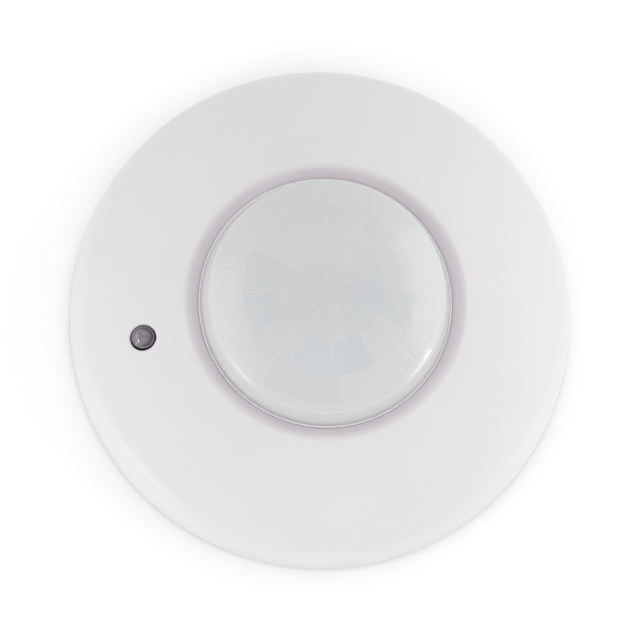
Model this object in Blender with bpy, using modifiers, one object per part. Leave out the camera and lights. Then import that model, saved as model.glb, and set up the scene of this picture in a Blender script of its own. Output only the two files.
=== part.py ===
"""Round ceiling motion sensor: a saucer cover around a faceted dome lens, over a board on a back plate.

The sensor lies on its back. The origin is the centre of the face that meets the ceiling, and +Z
runs along the lens axis into the room. Sizes below are in millimetres, and each mesh is made in metres.
"""
import math

import bmesh
import bpy
from mathutils import Matrix, Vector

MM = 0.001
GAP = 0.3                    # clearance between pieces that touch
FULL_TURN = 360.0

# Cover
COVER_RADIUS = 57.15
COVER_BOTTOM = 0.5
COVER_WALL = 2.05
SIDE_DRAFT = 0.75
EDGE_HEIGHT = 12.4           # where the side and the face would meet without their fillet
EDGE_FILLET = 6.0
FACE_BEND_RADIUS = 44.0
FACE_BEND_HEIGHT = 19.9
FACE_BEND_FILLET = 100.0
LIP_RADIUS = 31.0
LIP_HEIGHT = 24.9
LIP_FILLET = 1.7
COLLAR_RADIUS = 28.6
COLLAR_TOP = 22.3
COLLAR_BOTTOM = 19.2
COVER_STEPS = 64

# Bayonet between the cover and the back plate
BAYONET_COUNT = 3
LUG_WIDTH = 16.0             # degrees
LUG_BOTTOM = 2.8
LUG_TOP = 4.6
LUG_INNER_RADIUS = 52.0
LOCK_TURN = 20.0             # degrees, clockwise seen from the room
LEDGE_RADIUS = 54.0
LEDGE_THICKNESS = 1.6
FIRST_LUG_ANGLE = 30.0

# Dome lens
LENS_APEX = 39.6
LENS_DOME_RADIUS = 41.0
LENS_DOME_REACH = 24.6       # how far out the spherical top runs before the shoulder
LENS_WALL = 0.9
LENS_SKIRT_RADIUS = 28.2     # below the waist; above it the skirt leans in to the shoulder
LENS_WAIST_HEIGHT = 22.9
LENS_SHOULDER_RADIUS = 26.5
LENS_SHOULDER_HEIGHT = 29.9
LENS_SHOULDER_FILLET = 2.0
LENS_FLANGE_RADIUS = 31.1
LENS_FLANGE_THICKNESS = 1.4
LENS_STEPS = 48

# Ring that holds the lens in the cover
RING_INNER_RADIUS = 28.6
RING_OUTER_RADIUS = 33.6
RING_THICKNESS = 1.7
EAR_CENTRE_RADIUS = 36.5
EAR_RADIUS = 3.2
EAR_ANGLES = (90.0, 210.0, 330.0)
BOSS_RADIUS = 2.6
BOSS_TOP = 20.1

# Smoked window in the cover
WINDOW_CENTRE_RADIUS = 41.5
WINDOW_ANGLE = 180.0
WINDOW_RADIUS = 2.6
WINDOW_FLANGE_RADIUS = 3.8
WINDOW_FLANGE_TOP = 16.1
WINDOW_EDGE = 20.2
WINDOW_APEX = 21.3

# Back plate
PLATE_RADIUS = 54.2
PLATE_THICKNESS = 2.4
RIM_OUTER_RADIUS = 51.2
RIM_WALL = 1.8
RIM_TOP = 7.5
SLOT_WIDTH = 5.0
NARROW_SCREW_SPACING = 83.3  # single-gang box
WIDE_SCREW_SPACING = 88.9    # four-inch octagon box
CABLE_HOLE_CENTRE = 27.0
CABLE_HOLE_SIZE = (11.0, 16.0)
CABLE_HOLE_CORNER = 3.0
POST_RADIUS = 3.0
POST_CENTRE_RADIUS = 31.0
POST_ANGLES = (40.0, 140.0, 220.0, 320.0)
KEY_CENTRE = 25.6
KEY_SIZE = (2.2, 2.4)
KEY_TOP = 20.5
KEY_RIB_TOP = 21.0

# Circuit board
BOARD_RADIUS = 44.0
BOARD_BOTTOM = 7.5
BOARD_THICKNESS = 1.6
BOARD_TOP = BOARD_BOTTOM + BOARD_THICKNESS
SEAT = BOARD_TOP + GAP       # the lowest point of whatever stands on the board
RIM_STATION = 38.4           # radius of the circle that the taller components stand on

# Infra-red detector
DETECTOR_RADIUS = 4.1
DETECTOR_FLANGE_RADIUS = 4.6
SPACER_HEIGHT = 1.6
DETECTOR_BOTTOM = SEAT + SPACER_HEIGHT + GAP
DETECTOR_TOP = DETECTOR_BOTTOM + 4.2
DETECTOR_WINDOW = (4.6, 3.6)
WINDOW_RECESS = 0.9
LEAD_RADIUS = 0.25
LEAD_CIRCLE_RADIUS = 2.54
LEAD_ANGLES = (45.0, 135.0, 270.0)
LEAD_HOLE_RADIUS = 0.6

# Controls and terminals
TRIMMERS = {"time": 222.0, "sensitivity": 234.5, "light_level": 247.0}
TRIMMER_WIDTH = 6.6
TRIMMER_TOP = 13.4
ROTOR_RADIUS = 2.2
DIP_ANGLE = 294.0
DIP_COUNT = 4
DIP_PITCH = 2.54
DIP_TRAVEL = 1.6
BUTTON_ANGLE = 108.0
BUTTON_RADIUS = 1.6
POLE_COUNT = 3
POLE_PITCH = 5.0
RESISTOR_COUNT = 4
FIRST_RESISTOR_ANGLE = 176.0
RESISTOR_STEP = 7.0          # degrees

MATERIALS = {
    "cover_plastic": ((0.78, 0.765, 0.79), 0.42, 0.0),
    "lens_plastic": ((0.64, 0.65, 0.66), 0.35, 0.0),
    "window_plastic": ((0.10, 0.09, 0.105), 0.15, 0.0),
    "plate_plastic": ((0.72, 0.71, 0.72), 0.5, 0.0),
    "ring_plastic": ((0.70, 0.70, 0.70), 0.5, 0.0),
    "board_laminate": ((0.02, 0.17, 0.07), 0.4, 0.0),
    "zinc_steel": ((0.62, 0.62, 0.60), 0.35, 1.0),
    "detector_metal": ((0.70, 0.68, 0.62), 0.28, 1.0),
    "detector_filter": ((0.03, 0.03, 0.035), 0.12, 0.0),
    "lead_metal": ((0.78, 0.70, 0.50), 0.3, 1.0),
    "black_plastic": ((0.025, 0.025, 0.027), 0.45, 0.0),
    "terminal_plastic": ((0.03, 0.22, 0.09), 0.45, 0.0),
    "relay_plastic": ((0.75, 0.74, 0.70), 0.4, 0.0),
    "capacitor_sleeve": ((0.02, 0.03, 0.09), 0.35, 0.0),
    "chip_epoxy": ((0.015, 0.015, 0.016), 0.6, 0.0),
    "chip_ceramic": ((0.08, 0.07, 0.06), 0.5, 0.0),
    "led_epoxy": ((0.75, 0.06, 0.04), 0.15, 0.0),
    "trimmer_plastic": ((0.03, 0.12, 0.38), 0.4, 0.0),
    "rotor_plastic": ((0.80, 0.79, 0.74), 0.4, 0.0),
    "dip_plastic": ((0.45, 0.03, 0.02), 0.4, 0.0),
}


def clear_scene():
    """Remove what a new file holds."""
    for old in list(bpy.data.objects):
        bpy.data.objects.remove(old)


def add_collection(name):
    """A collection under the scene."""
    collection = bpy.data.collections.new(name)
    bpy.context.scene.collection.children.link(collection)
    return collection


def make_material(name):
    """A Principled material from its row in MATERIALS."""
    colour, roughness, metallic = MATERIALS[name]
    material = bpy.data.materials.new(name)
    material.use_nodes = True
    shader = material.node_tree.nodes["Principled BSDF"]
    shader.inputs["Base Color"].default_value = (*colour, 1.0)
    shader.inputs["Roughness"].default_value = roughness
    shader.inputs["Metallic"].default_value = metallic
    return material


def polar(radius, angle):
    """The x and y of a point at a radius and an angle in degrees about the lens axis."""
    return radius * math.cos(math.radians(angle)), radius * math.sin(math.radians(angle))


def station(radius, angle):
    """A place on the board whose local X points away from the lens axis."""
    return Matrix.Rotation(math.radians(angle), 4, "Z") @ Matrix.Translation((radius * MM, 0, 0))


def rounded(corners):
    """An outline through (x, z, fillet radius, arc steps) corners, with each fillet as an arc."""
    outline = []
    for index, (x, z, radius, steps) in enumerate(corners):
        corner = Vector((x, z))
        if not radius:
            outline.append(corner)
            continue
        before = (Vector(corners[index - 1][:2]) - corner).normalized()
        after = (Vector(corners[(index + 1) % len(corners)][:2]) - corner).normalized()
        half = before.angle(after) / 2
        centre = corner + (before + after).normalized() * radius / math.sin(half)
        first = corner + before * radius / math.tan(half) - centre
        last = corner + after * radius / math.tan(half) - centre
        turn = math.atan2(first.cross(last), first.dot(last))
        for step in range(steps + 1):
            outline.append(centre + Matrix.Rotation(turn * step / steps, 2) @ first)
    return outline


def dome_arc(apex, dome_radius, reach, steps):
    """Points of a spherical cap's profile, from its apex out to a radius of reach."""
    spread = math.asin(reach / dome_radius)
    centre = apex - dome_radius
    angles = [spread * step / steps for step in range(steps + 1)]
    return [Vector((dome_radius * math.sin(a), centre + dome_radius * math.cos(a))) for a in angles]


def add_box(bm, size, centre):
    """Add a box."""
    corners = bmesh.ops.create_cube(bm, size=1.0)["verts"]
    place = Matrix.Translation(Vector(centre) * MM) @ Matrix.Diagonal((*(Vector(size) * MM), 1.0))
    bmesh.ops.transform(bm, matrix=place, verts=corners)


def add_cylinder(bm, radius, bottom, top, centre=(0.0, 0.0), sides=16):
    """Add an upright cylinder."""
    ring = bmesh.ops.create_cone(bm, cap_ends=True, segments=sides, radius1=radius * MM,
                                 radius2=radius * MM, depth=(top - bottom) * MM)["verts"]
    middle = Vector((centre[0], centre[1], (top + bottom) / 2)) * MM
    bmesh.ops.translate(bm, vec=middle, verts=ring)


def add_prism(bm, outline, bottom, top):
    """Add an upright prism over an outline of (x, y) points."""
    face = bm.faces.new([bm.verts.new(Vector((x, y, bottom)) * MM) for x, y in outline])
    raised = bmesh.ops.extrude_face_region(bm, geom=[face])["geom"]
    lifted = [item for item in raised if isinstance(item, bmesh.types.BMVert)]
    bmesh.ops.translate(bm, vec=(0, 0, (top - bottom) * MM), verts=lifted)


def add_ring_sector(bm, inner, outer, bottom, top, middle, width, steps=4):
    """Add a block that follows a circle, width degrees long about the angle middle."""
    angles = [middle - width / 2 + width * step / steps for step in range(steps + 1)]
    outline = [polar(outer, angle) for angle in angles] + [polar(inner, angle) for angle in reversed(angles)]
    add_prism(bm, outline, bottom, top)


def add_rounded_box(bm, size, centre, corner_radius, bottom, top):
    """Add an upright box of a (width, depth) size with rounded vertical edges."""
    right, back = size[0] / 2, size[1] / 2
    signs = ((1, 1), (-1, 1), (-1, -1), (1, -1))
    corners = [(centre[0] + right * x, centre[1] + back * y, corner_radius, 4) for x, y in signs]
    add_prism(bm, rounded(corners), bottom, top)


def finish(name, bm, collection, place):
    """Turn a bmesh into an object at a place, with its faces outward."""
    bmesh.ops.recalc_face_normals(bm, faces=bm.faces)
    mesh = bpy.data.meshes.new(name)
    bm.to_mesh(mesh)
    bm.free()
    piece = bpy.data.objects.new(name, mesh)
    collection.objects.link(piece)
    piece.matrix_world = place
    return piece


class Kit:
    """The collections that the pieces and the cutters go in, and the shared materials."""

    def __init__(self):
        self.parts = add_collection("motion_sensor")
        self.tools = add_collection("motion_sensor_cutters")
        self.materials = {name: make_material(name) for name in MATERIALS}

    def piece(self, name, bm, material, place=Matrix(), smooth=True):
        """A named piece with its material."""
        made = finish(name, bm, self.parts, place)
        made.data.materials.append(self.materials[material])
        if smooth:
            made.data.shade_smooth()
            made.data.set_sharp_from_angle(angle=math.radians(30))
        return made

    def turned(self, name, outline, material, steps, closed=True):
        """A piece turned about Z from an outline that runs down its outer side."""
        bm = bmesh.new()
        points = [bm.verts.new((x * MM, 0, z * MM)) for x, z in outline]
        ends = points[1:] + points[:1] if closed else points[1:]
        for start, end in zip(points, ends):
            bm.edges.new((start, end))
        mesh = bpy.data.meshes.new(name)
        bm.to_mesh(mesh)
        bm.free()
        made = bpy.data.objects.new(name, mesh)
        made.data.materials.append(self.materials[material])
        self.parts.objects.link(made)
        screw = made.modifiers.new("turn", "SCREW")
        screw.steps = steps
        screw.render_steps = steps
        screw.use_merge_vertices = True
        screw.merge_threshold = 0.00001
        screw.use_smooth_shade = True
        return made

    def stacked(self, name, sections, material, steps, place):
        """A turned piece made of stacked (radius, bottom, top) sections, highest first."""
        outline = [(0.0, sections[0][2])]
        for radius, bottom, top in sections:
            outline += [(radius, top), (radius, bottom)]
        outline.append((0.0, sections[-1][1]))
        made = self.turned(name, outline, material, steps, closed=False)
        made.matrix_world = place
        return made

    def shape(self, target, operation, bm, place=Matrix()):
        """Cut a shape out of a piece, or join it on, with a Boolean."""
        tool = finish(f"{target.name}_{operation.lower()}", bm, self.tools, place)
        tool.hide_render = True
        tool.display_type = "WIRE"
        boolean = target.modifiers.new(operation.lower(), "BOOLEAN")
        boolean.operation = operation
        boolean.solver = "EXACT"
        boolean.object = tool


def lug_angles():
    """The middles of the bayonet lugs at rest, between the ledges."""
    return [FIRST_LUG_ANGLE + FULL_TURN * index / BAYONET_COUNT for index in range(BAYONET_COUNT)]


def front_cover(kit):
    """The saucer: side, convex face, rolled lip and the collar around the lens."""
    inner_side = COVER_RADIUS - COVER_WALL
    cover = kit.turned("front_cover", rounded([
        (COLLAR_RADIUS, COLLAR_BOTTOM, 0, 0),
        (COLLAR_RADIUS, COLLAR_TOP, 1.0, 2),
        (LIP_RADIUS, LIP_HEIGHT, LIP_FILLET, 5),
        (FACE_BEND_RADIUS, FACE_BEND_HEIGHT, FACE_BEND_FILLET, 3),
        (COVER_RADIUS - SIDE_DRAFT, EDGE_HEIGHT, EDGE_FILLET, 4),
        (COVER_RADIUS, COVER_BOTTOM, 0, 0),
        (inner_side, COVER_BOTTOM, 0, 0),
        (inner_side - SIDE_DRAFT, EDGE_HEIGHT - 1.3, EDGE_FILLET - COVER_WALL, 2),
        (FACE_BEND_RADIUS - 0.6, FACE_BEND_HEIGHT - 2.0, FACE_BEND_FILLET, 2),
        (LIP_RADIUS + 1.4, LIP_HEIGHT - 2.4, 0.6, 1),
        (COLLAR_RADIUS + 2.2, COLLAR_TOP - 1.2, 0.6, 1),
        (COLLAR_RADIUS + 2.2, COLLAR_BOTTOM, 0, 0),
    ]), "cover_plastic", COVER_STEPS)

    additions = bmesh.new()
    for angle in lug_angles():
        add_ring_sector(additions, LUG_INNER_RADIUS, COVER_RADIUS - 1.2, LUG_BOTTOM, LUG_TOP, angle, LUG_WIDTH)
    for angle in EAR_ANGLES:
        add_cylinder(additions, BOSS_RADIUS, ring_top() + GAP, BOSS_TOP + 1.2, polar(EAR_CENTRE_RADIUS, angle), 12)
    kit.shape(cover, "UNION", additions)

    holes = bmesh.new()
    for angle in EAR_ANGLES:
        add_cylinder(holes, 1.3, 14.0, 19.2, polar(EAR_CENTRE_RADIUS, angle), 10)
    window = polar(WINDOW_CENTRE_RADIUS, WINDOW_ANGLE)
    add_cylinder(holes, WINDOW_RADIUS + GAP, 15.0, 26.0, window, 20)
    kit.shape(cover, "DIFFERENCE", holes)


def smoked_window(kit):
    """The small domed window in the cover's face, with a flange behind the skin."""
    window = kit.turned("smoked_window", dome_arc(WINDOW_APEX, 4.1, WINDOW_RADIUS - 0.1, 3) + [
        Vector((WINDOW_RADIUS, WINDOW_EDGE - 0.3)),
        Vector((WINDOW_RADIUS, WINDOW_FLANGE_TOP)),
        Vector((WINDOW_FLANGE_RADIUS, WINDOW_FLANGE_TOP)),
        Vector((WINDOW_FLANGE_RADIUS, WINDOW_FLANGE_TOP - 1.0)),
        Vector((0, WINDOW_FLANGE_TOP - 1.0)),
    ], "window_plastic", 20, closed=False)
    window.matrix_world = station(WINDOW_CENTRE_RADIUS, WINDOW_ANGLE)


def flange_bottom():
    """The height of the lens flange's lower face."""
    return COLLAR_BOTTOM - GAP - LENS_FLANGE_THICKNESS


def fresnel_lens(kit):
    """The dome: a spherical top, a rounded shoulder, a skirt and a flange behind the collar."""
    inner_skirt = LENS_SKIRT_RADIUS - LENS_WALL
    outer_dome = dome_arc(LENS_APEX, LENS_DOME_RADIUS, LENS_DOME_REACH, 6)
    inner_dome = dome_arc(LENS_APEX - LENS_WALL, LENS_DOME_RADIUS - LENS_WALL, LENS_DOME_REACH - LENS_WALL, 6)
    corners = [(*outer_dome[-1], 0, 0), (LENS_SHOULDER_RADIUS, LENS_SHOULDER_HEIGHT, LENS_SHOULDER_FILLET, 4),
               (LENS_SKIRT_RADIUS, LENS_WAIST_HEIGHT, 0, 0), (LENS_SKIRT_RADIUS, COLLAR_BOTTOM - GAP, 0, 0),
               (LENS_FLANGE_RADIUS, COLLAR_BOTTOM - GAP, 0, 0), (LENS_FLANGE_RADIUS, flange_bottom(), 0, 0),
               (inner_skirt, flange_bottom(), 0, 0), (inner_skirt, LENS_WAIST_HEIGHT - 0.2, 0, 0),
               (LENS_SHOULDER_RADIUS - 0.8, LENS_SHOULDER_HEIGHT - 0.5, LENS_SHOULDER_FILLET - LENS_WALL, 3),
               (*inner_dome[-1], 0, 0)]
    outline = outer_dome[:-1] + rounded(corners) + inner_dome[-2::-1]
    lens = kit.turned("fresnel_lens", outline, "lens_plastic", LENS_STEPS, closed=False)

    ribs = bmesh.new()
    for side in (-1, 1):
        middle = side * (KEY_SIZE[0] / 2 + GAP + 0.6)
        add_box(ribs, (1.2, 3.6, KEY_RIB_TOP - flange_bottom()),
                (middle, KEY_CENTRE + 0.6, (KEY_RIB_TOP + flange_bottom()) / 2))
    kit.shape(lens, "UNION", ribs)


def ring_top():
    """The height of the retaining ring's upper face."""
    return flange_bottom() - GAP


def lens_retaining_ring(kit):
    """The flat ring that holds the lens flange up against the collar."""
    top = ring_top()
    bottom = top - RING_THICKNESS
    ring = kit.turned("lens_retaining_ring", [
        (RING_INNER_RADIUS, top), (RING_OUTER_RADIUS, top), (RING_OUTER_RADIUS, bottom),
        (RING_INNER_RADIUS, bottom)], "ring_plastic", 48)

    ears = bmesh.new()
    holes = bmesh.new()
    for index, angle in enumerate(EAR_ANGLES):
        add_ring_sector(ears, RING_OUTER_RADIUS - 1.0, EAR_CENTRE_RADIUS + EAR_RADIUS, bottom + 0.1, top - 0.1,
                        angle, 2 * math.degrees(EAR_RADIUS / EAR_CENTRE_RADIUS), 3)
        add_cylinder(holes, 1.4, bottom - 1.0, top + 1.0, polar(EAR_CENTRE_RADIUS, angle), 12)
        screw_sections = [(1.0, bottom - GAP, bottom - GAP + 3.4), (2.1, bottom - GAP - 1.4, bottom - GAP)]
        kit.stacked(f"ring_screw_{index + 1}", screw_sections, "zinc_steel", 12, station(EAR_CENTRE_RADIUS, angle))
    kit.shape(ring, "UNION", ears)
    kit.shape(ring, "DIFFERENCE", holes)


def back_plate(kit):
    """The plate that screws to the ceiling box, with its rim, ledges, posts and lens key."""
    rim_inner = RIM_OUTER_RADIUS - RIM_WALL
    plate = kit.turned("back_plate", [
        (0, PLATE_THICKNESS), (rim_inner, PLATE_THICKNESS), (rim_inner, RIM_TOP), (RIM_OUTER_RADIUS, RIM_TOP),
        (RIM_OUTER_RADIUS, PLATE_THICKNESS), (PLATE_RADIUS, PLATE_THICKNESS), (PLATE_RADIUS, 0), (0, 0),
    ], "plate_plastic", 64, closed=False)

    additions = bmesh.new()
    ledge_bottom = LUG_TOP + 0.4
    stop_width = 1.2
    for angle in lug_angles():
        locked_edge = angle - LOCK_TURN - LUG_WIDTH / 2 - 1.0
        ledge_width = LUG_WIDTH + 3.0
        add_ring_sector(additions, RIM_OUTER_RADIUS - 0.8, LEDGE_RADIUS, ledge_bottom,
                        ledge_bottom + LEDGE_THICKNESS, locked_edge + ledge_width / 2 - 0.5, ledge_width)
    for angle in POST_ANGLES:
        add_cylinder(additions, POST_RADIUS, 1.0, BOARD_BOTTOM - GAP, polar(POST_CENTRE_RADIUS, angle), 16)
    add_box(additions, (*KEY_SIZE, KEY_TOP - 1.0), (0, KEY_CENTRE, (KEY_TOP + 1.0) / 2))
    kit.shape(plate, "UNION", additions)

    stops = bmesh.new()
    for angle in lug_angles():
        locked_edge = angle - LOCK_TURN - LUG_WIDTH / 2 - 1.0
        add_ring_sector(stops, RIM_OUTER_RADIUS - 0.6, LEDGE_RADIUS - 0.2, PLATE_THICKNESS - 0.8,
                        ledge_bottom + 0.8, locked_edge, stop_width, 1)
    kit.shape(plate, "UNION", stops)

    holes = bmesh.new()
    for angle in POST_ANGLES:
        add_cylinder(holes, 1.5, 3.6, 9.0, polar(POST_CENTRE_RADIUS, angle), 12)
    add_rounded_box(holes, CABLE_HOLE_SIZE, (CABLE_HOLE_CENTRE, 0), CABLE_HOLE_CORNER, -1.0, 4.0)
    slot_middle = (NARROW_SCREW_SPACING + WIDE_SCREW_SPACING) / 4
    slot_length = (WIDE_SCREW_SPACING - NARROW_SCREW_SPACING) / 2 + SLOT_WIDTH
    for side in (-1, 1):
        add_rounded_box(holes, (SLOT_WIDTH, slot_length), (0, side * slot_middle), 0.48 * SLOT_WIDTH, -1.0, 4.0)
    kit.shape(plate, "DIFFERENCE", holes)


def main_board(kit):
    """The round circuit board, cut away for the screw slots, the wires and the lens key."""
    outline = bmesh.new()
    add_cylinder(outline, BOARD_RADIUS, BOARD_BOTTOM, BOARD_TOP, sides=64)
    board = kit.piece("main_board", outline, "board_laminate")

    cuts = bmesh.new()
    height = (BOARD_BOTTOM + BOARD_TOP) / 2
    for side in (-1, 1):
        add_box(cuts, (14.0, 12.0, 4.0), (0, side * 40.0, height))
    add_rounded_box(cuts, CABLE_HOLE_SIZE, (CABLE_HOLE_CENTRE, 0), CABLE_HOLE_CORNER, BOARD_BOTTOM - 1,
                    BOARD_TOP + 1)
    add_box(cuts, (KEY_SIZE[0] + 1.0, KEY_SIZE[1] + 1.0, 4.0), (0, KEY_CENTRE, height))
    for angle in POST_ANGLES:
        add_cylinder(cuts, 1.6, BOARD_BOTTOM - 1, BOARD_TOP + 1, polar(POST_CENTRE_RADIUS, angle), 12)
    for angle in LEAD_ANGLES:
        add_cylinder(cuts, LEAD_HOLE_RADIUS, BOARD_BOTTOM - 1, BOARD_TOP + 1, polar(LEAD_CIRCLE_RADIUS, angle), 8)
    kit.shape(board, "DIFFERENCE", cuts)

    for index, angle in enumerate(POST_ANGLES):
        kit.stacked(f"board_screw_{index + 1}", [(2.5, SEAT, SEAT + 1.7), (1.2, 4.2, SEAT)], "zinc_steel", 12,
                    station(POST_CENTRE_RADIUS, angle))


def infrared_detector(kit):
    """The metal can at the lens's focus, its filter window, its spacer and its three leads."""
    spacer = bmesh.new()
    add_cylinder(spacer, DETECTOR_RADIUS, SEAT, SEAT + SPACER_HEIGHT, sides=24)
    spacer = kit.piece("detector_spacer", spacer, "black_plastic")
    holes = bmesh.new()
    for index, angle in enumerate(LEAD_ANGLES):
        centre = polar(LEAD_CIRCLE_RADIUS, angle)
        add_cylinder(holes, LEAD_HOLE_RADIUS, SEAT - 1, SEAT + SPACER_HEIGHT + 1, centre, 8)
        lead = bmesh.new()
        add_cylinder(lead, LEAD_RADIUS, BOARD_BOTTOM - 1.0, DETECTOR_BOTTOM - GAP, sides=8)
        kit.piece(f"detector_lead_{index + 1}", lead, "lead_metal", station(LEAD_CIRCLE_RADIUS, angle))
    kit.shape(spacer, "DIFFERENCE", holes)

    can = kit.turned("detector_can", [
        (0, DETECTOR_TOP), (DETECTOR_RADIUS - 0.4, DETECTOR_TOP), (DETECTOR_RADIUS, DETECTOR_TOP - 0.4),
        (DETECTOR_RADIUS, DETECTOR_BOTTOM + 0.5), (DETECTOR_FLANGE_RADIUS, DETECTOR_BOTTOM + 0.5),
        (DETECTOR_FLANGE_RADIUS, DETECTOR_BOTTOM), (0, DETECTOR_BOTTOM)], "detector_metal", 24, closed=False)
    recess = bmesh.new()
    add_box(recess, (*DETECTOR_WINDOW, 2 * WINDOW_RECESS), (0, 0, DETECTOR_TOP))
    kit.shape(can, "DIFFERENCE", recess)
    pane = bmesh.new()
    add_box(pane, (DETECTOR_WINDOW[0] - 2 * GAP, DETECTOR_WINDOW[1] - 2 * GAP, WINDOW_RECESS - GAP),
            (0, 0, DETECTOR_TOP - (WINDOW_RECESS - GAP) / 2))
    kit.piece("detector_filter_window", pane, "detector_filter", smooth=False)


def trimmer(kit, name, angle):
    """A square trimmer body and the slotted rotor that turns in its well."""
    place = station(RIM_STATION, angle)
    box = bmesh.new()
    add_box(box, (TRIMMER_WIDTH, TRIMMER_WIDTH, TRIMMER_TOP - SEAT), (0, 0, (TRIMMER_TOP + SEAT) / 2))
    body = kit.piece(f"{name}_trimmer_body", box, "trimmer_plastic", place, smooth=False)
    well = bmesh.new()
    add_cylinder(well, ROTOR_RADIUS + GAP, TRIMMER_TOP - 1.2, TRIMMER_TOP + 1, sides=16)
    kit.shape(body, "DIFFERENCE", well, place)

    disc = bmesh.new()
    add_cylinder(disc, ROTOR_RADIUS, TRIMMER_TOP - 0.9, TRIMMER_TOP + 0.5, sides=16)
    rotor = kit.piece(f"{name}_trimmer_rotor", disc, "rotor_plastic", place)
    slot = bmesh.new()
    add_box(slot, (0.7, 3.0, 1.2), (0, 0, TRIMMER_TOP + 0.5))
    kit.shape(rotor, "DIFFERENCE", slot, place)


def dip_switch(kit):
    """The row of small slide switches for the modes."""
    place = station(RIM_STATION, DIP_ANGLE)
    top = SEAT + 3.0
    width = DIP_COUNT * DIP_PITCH + 1.2
    box = bmesh.new()
    add_box(box, (6.4, width, 3.0), (0, 0, SEAT + 1.5))
    body = kit.piece("dip_switch_body", box, "dip_plastic", place, smooth=False)
    wells = bmesh.new()
    rows = [(index - (DIP_COUNT - 1) / 2) * DIP_PITCH for index in range(DIP_COUNT)]
    for row in rows:
        add_box(wells, (1.5 + DIP_TRAVEL + 2 * GAP, 1.7, 3.0), (0, row, top))
    kit.shape(body, "DIFFERENCE", wells, place)
    for index, row in enumerate(rows):
        slider = bmesh.new()
        add_box(slider, (1.5, 1.1, 1.9), (0, 0, top - 0.25))
        kit.piece(f"dip_slider_{index + 1}", slider, "rotor_plastic",
                  place @ Matrix.Translation((-DIP_TRAVEL / 2 * MM, row * MM, 0)), smooth=False)


def test_button(kit):
    """The push button that starts the walk test."""
    place = station(RIM_STATION, BUTTON_ANGLE)
    top = SEAT + 3.4
    box = bmesh.new()
    add_box(box, (6.0, 6.0, 3.4), (0, 0, SEAT + 1.7))
    body = kit.piece("test_button_body", box, "black_plastic", place, smooth=False)
    well = bmesh.new()
    add_cylinder(well, BUTTON_RADIUS + GAP, top - 1.6, top + 1, sides=16)
    kit.shape(body, "DIFFERENCE", well, place)
    plunger = bmesh.new()
    add_cylinder(plunger, BUTTON_RADIUS, top - 1.0, top + 1.4, sides=16)
    kit.piece("test_button", plunger, "rotor_plastic", place)


def terminal_block(kit):
    """The screw terminals for the wires, beside the opening that they come through."""
    place = station(39.0, 0)
    height = 7.0
    depth = 8.0
    top = SEAT + height
    box = bmesh.new()
    add_box(box, (depth, POLE_COUNT * POLE_PITCH + 0.8, height), (0, 0, SEAT + height / 2))
    body = kit.piece("terminal_block", box, "terminal_plastic", place, smooth=False)
    wells = bmesh.new()
    mouths = bmesh.new()
    for index in range(POLE_COUNT):
        row = (index - (POLE_COUNT - 1) / 2) * POLE_PITCH
        add_cylinder(wells, 1.9, top - 2.2, top + 1, (0, row), 16)
        add_box(mouths, (depth - 2.0, 3.4, 3.0), (-2.0, row, SEAT + 2.3))
        screw = bmesh.new()
        add_cylinder(screw, 1.5, top - 1.9, top - 0.6, (0, row), 16)
        screw = kit.piece(f"terminal_screw_{index + 1}", screw, "zinc_steel", place)
        slot = bmesh.new()
        add_box(slot, (0.6, 3.4, 0.8), (0, row, top - 0.6))
        kit.shape(screw, "DIFFERENCE", slot, place)
        clamp = bmesh.new()
        add_box(clamp, (3.0, 2.6, 0.7), (-0.9, row, SEAT + 1.5))
        kit.piece(f"wire_clamp_{index + 1}", clamp, "zinc_steel", place, smooth=False)
    kit.shape(body, "DIFFERENCE", wells, place)
    kit.shape(body, "DIFFERENCE", mouths, place)


def box_component(kit, name, material, size, radius, angle):
    """A plain block that stands on the board."""
    bm = bmesh.new()
    add_box(bm, size, (0, 0, SEAT + size[2] / 2))
    kit.piece(name, bm, material, station(radius, angle), smooth=False)


def capacitor(kit, name, radius, height, angle):
    """An electrolytic capacitor, with the rolled groove near its foot."""
    groove_bottom = SEAT + 0.8
    groove_top = groove_bottom + 0.6
    sections = [(radius, groove_top, SEAT + height), (radius - 0.35, groove_bottom, groove_top),
                (radius, SEAT, groove_bottom)]
    kit.stacked(name, sections, "capacitor_sleeve", 20, station(RIM_STATION, angle))


def small_components(kit):
    """What else stands on the board: relay, capacitors, chips, crystal, resistors and sensors."""
    box_component(kit, "relay", "relay_plastic", (7.4, 14.6, 7.2), RIM_STATION, 130.0)
    capacitor(kit, "supply_capacitor", 3.15, 7.2, 46.0)
    capacitor(kit, "filter_capacitor", 2.5, 6.0, 29.0)
    box_component(kit, "microcontroller", "chip_epoxy", (7.0, 7.0, 1.2), 17.0, 225.0)
    box_component(kit, "amplifier_chip", "chip_epoxy", (5.0, 4.0, 1.5), 14.0, 150.0)
    box_component(kit, "voltage_regulator", "chip_epoxy", (3.5, 6.5, 1.7), 17.0, 62.0)
    box_component(kit, "clock_crystal", "detector_metal", (4.4, 10.6, 3.4), 18.0, 290.0)
    box_component(kit, "ambient_light_sensor", "detector_filter", (3.0, 3.6, 1.4), WINDOW_CENTRE_RADIUS,
                  WINDOW_ANGLE - LOCK_TURN)

    kit.stacked("status_led", [(1.5, SEAT + 0.8, SEAT + 3.6), (1.9, SEAT, SEAT + 0.8)], "led_epoxy", 16,
                station(12.0, 15.0))
    for index in range(RESISTOR_COUNT):
        box_component(kit, f"chip_resistor_{index + 1}", "chip_ceramic", (2.0, 1.25, 0.6), 22.5,
                      FIRST_RESISTOR_ANGLE + RESISTOR_STEP * index)


def main():
    """Build the whole sensor."""
    clear_scene()
    kit = Kit()
    back_plate(kit)
    main_board(kit)
    infrared_detector(kit)
    terminal_block(kit)
    for name, angle in TRIMMERS.items():
        trimmer(kit, name, angle)
    dip_switch(kit)
    test_button(kit)
    small_components(kit)
    fresnel_lens(kit)
    front_cover(kit)
    smoked_window(kit)
    lens_retaining_ring(kit)


main()
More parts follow.
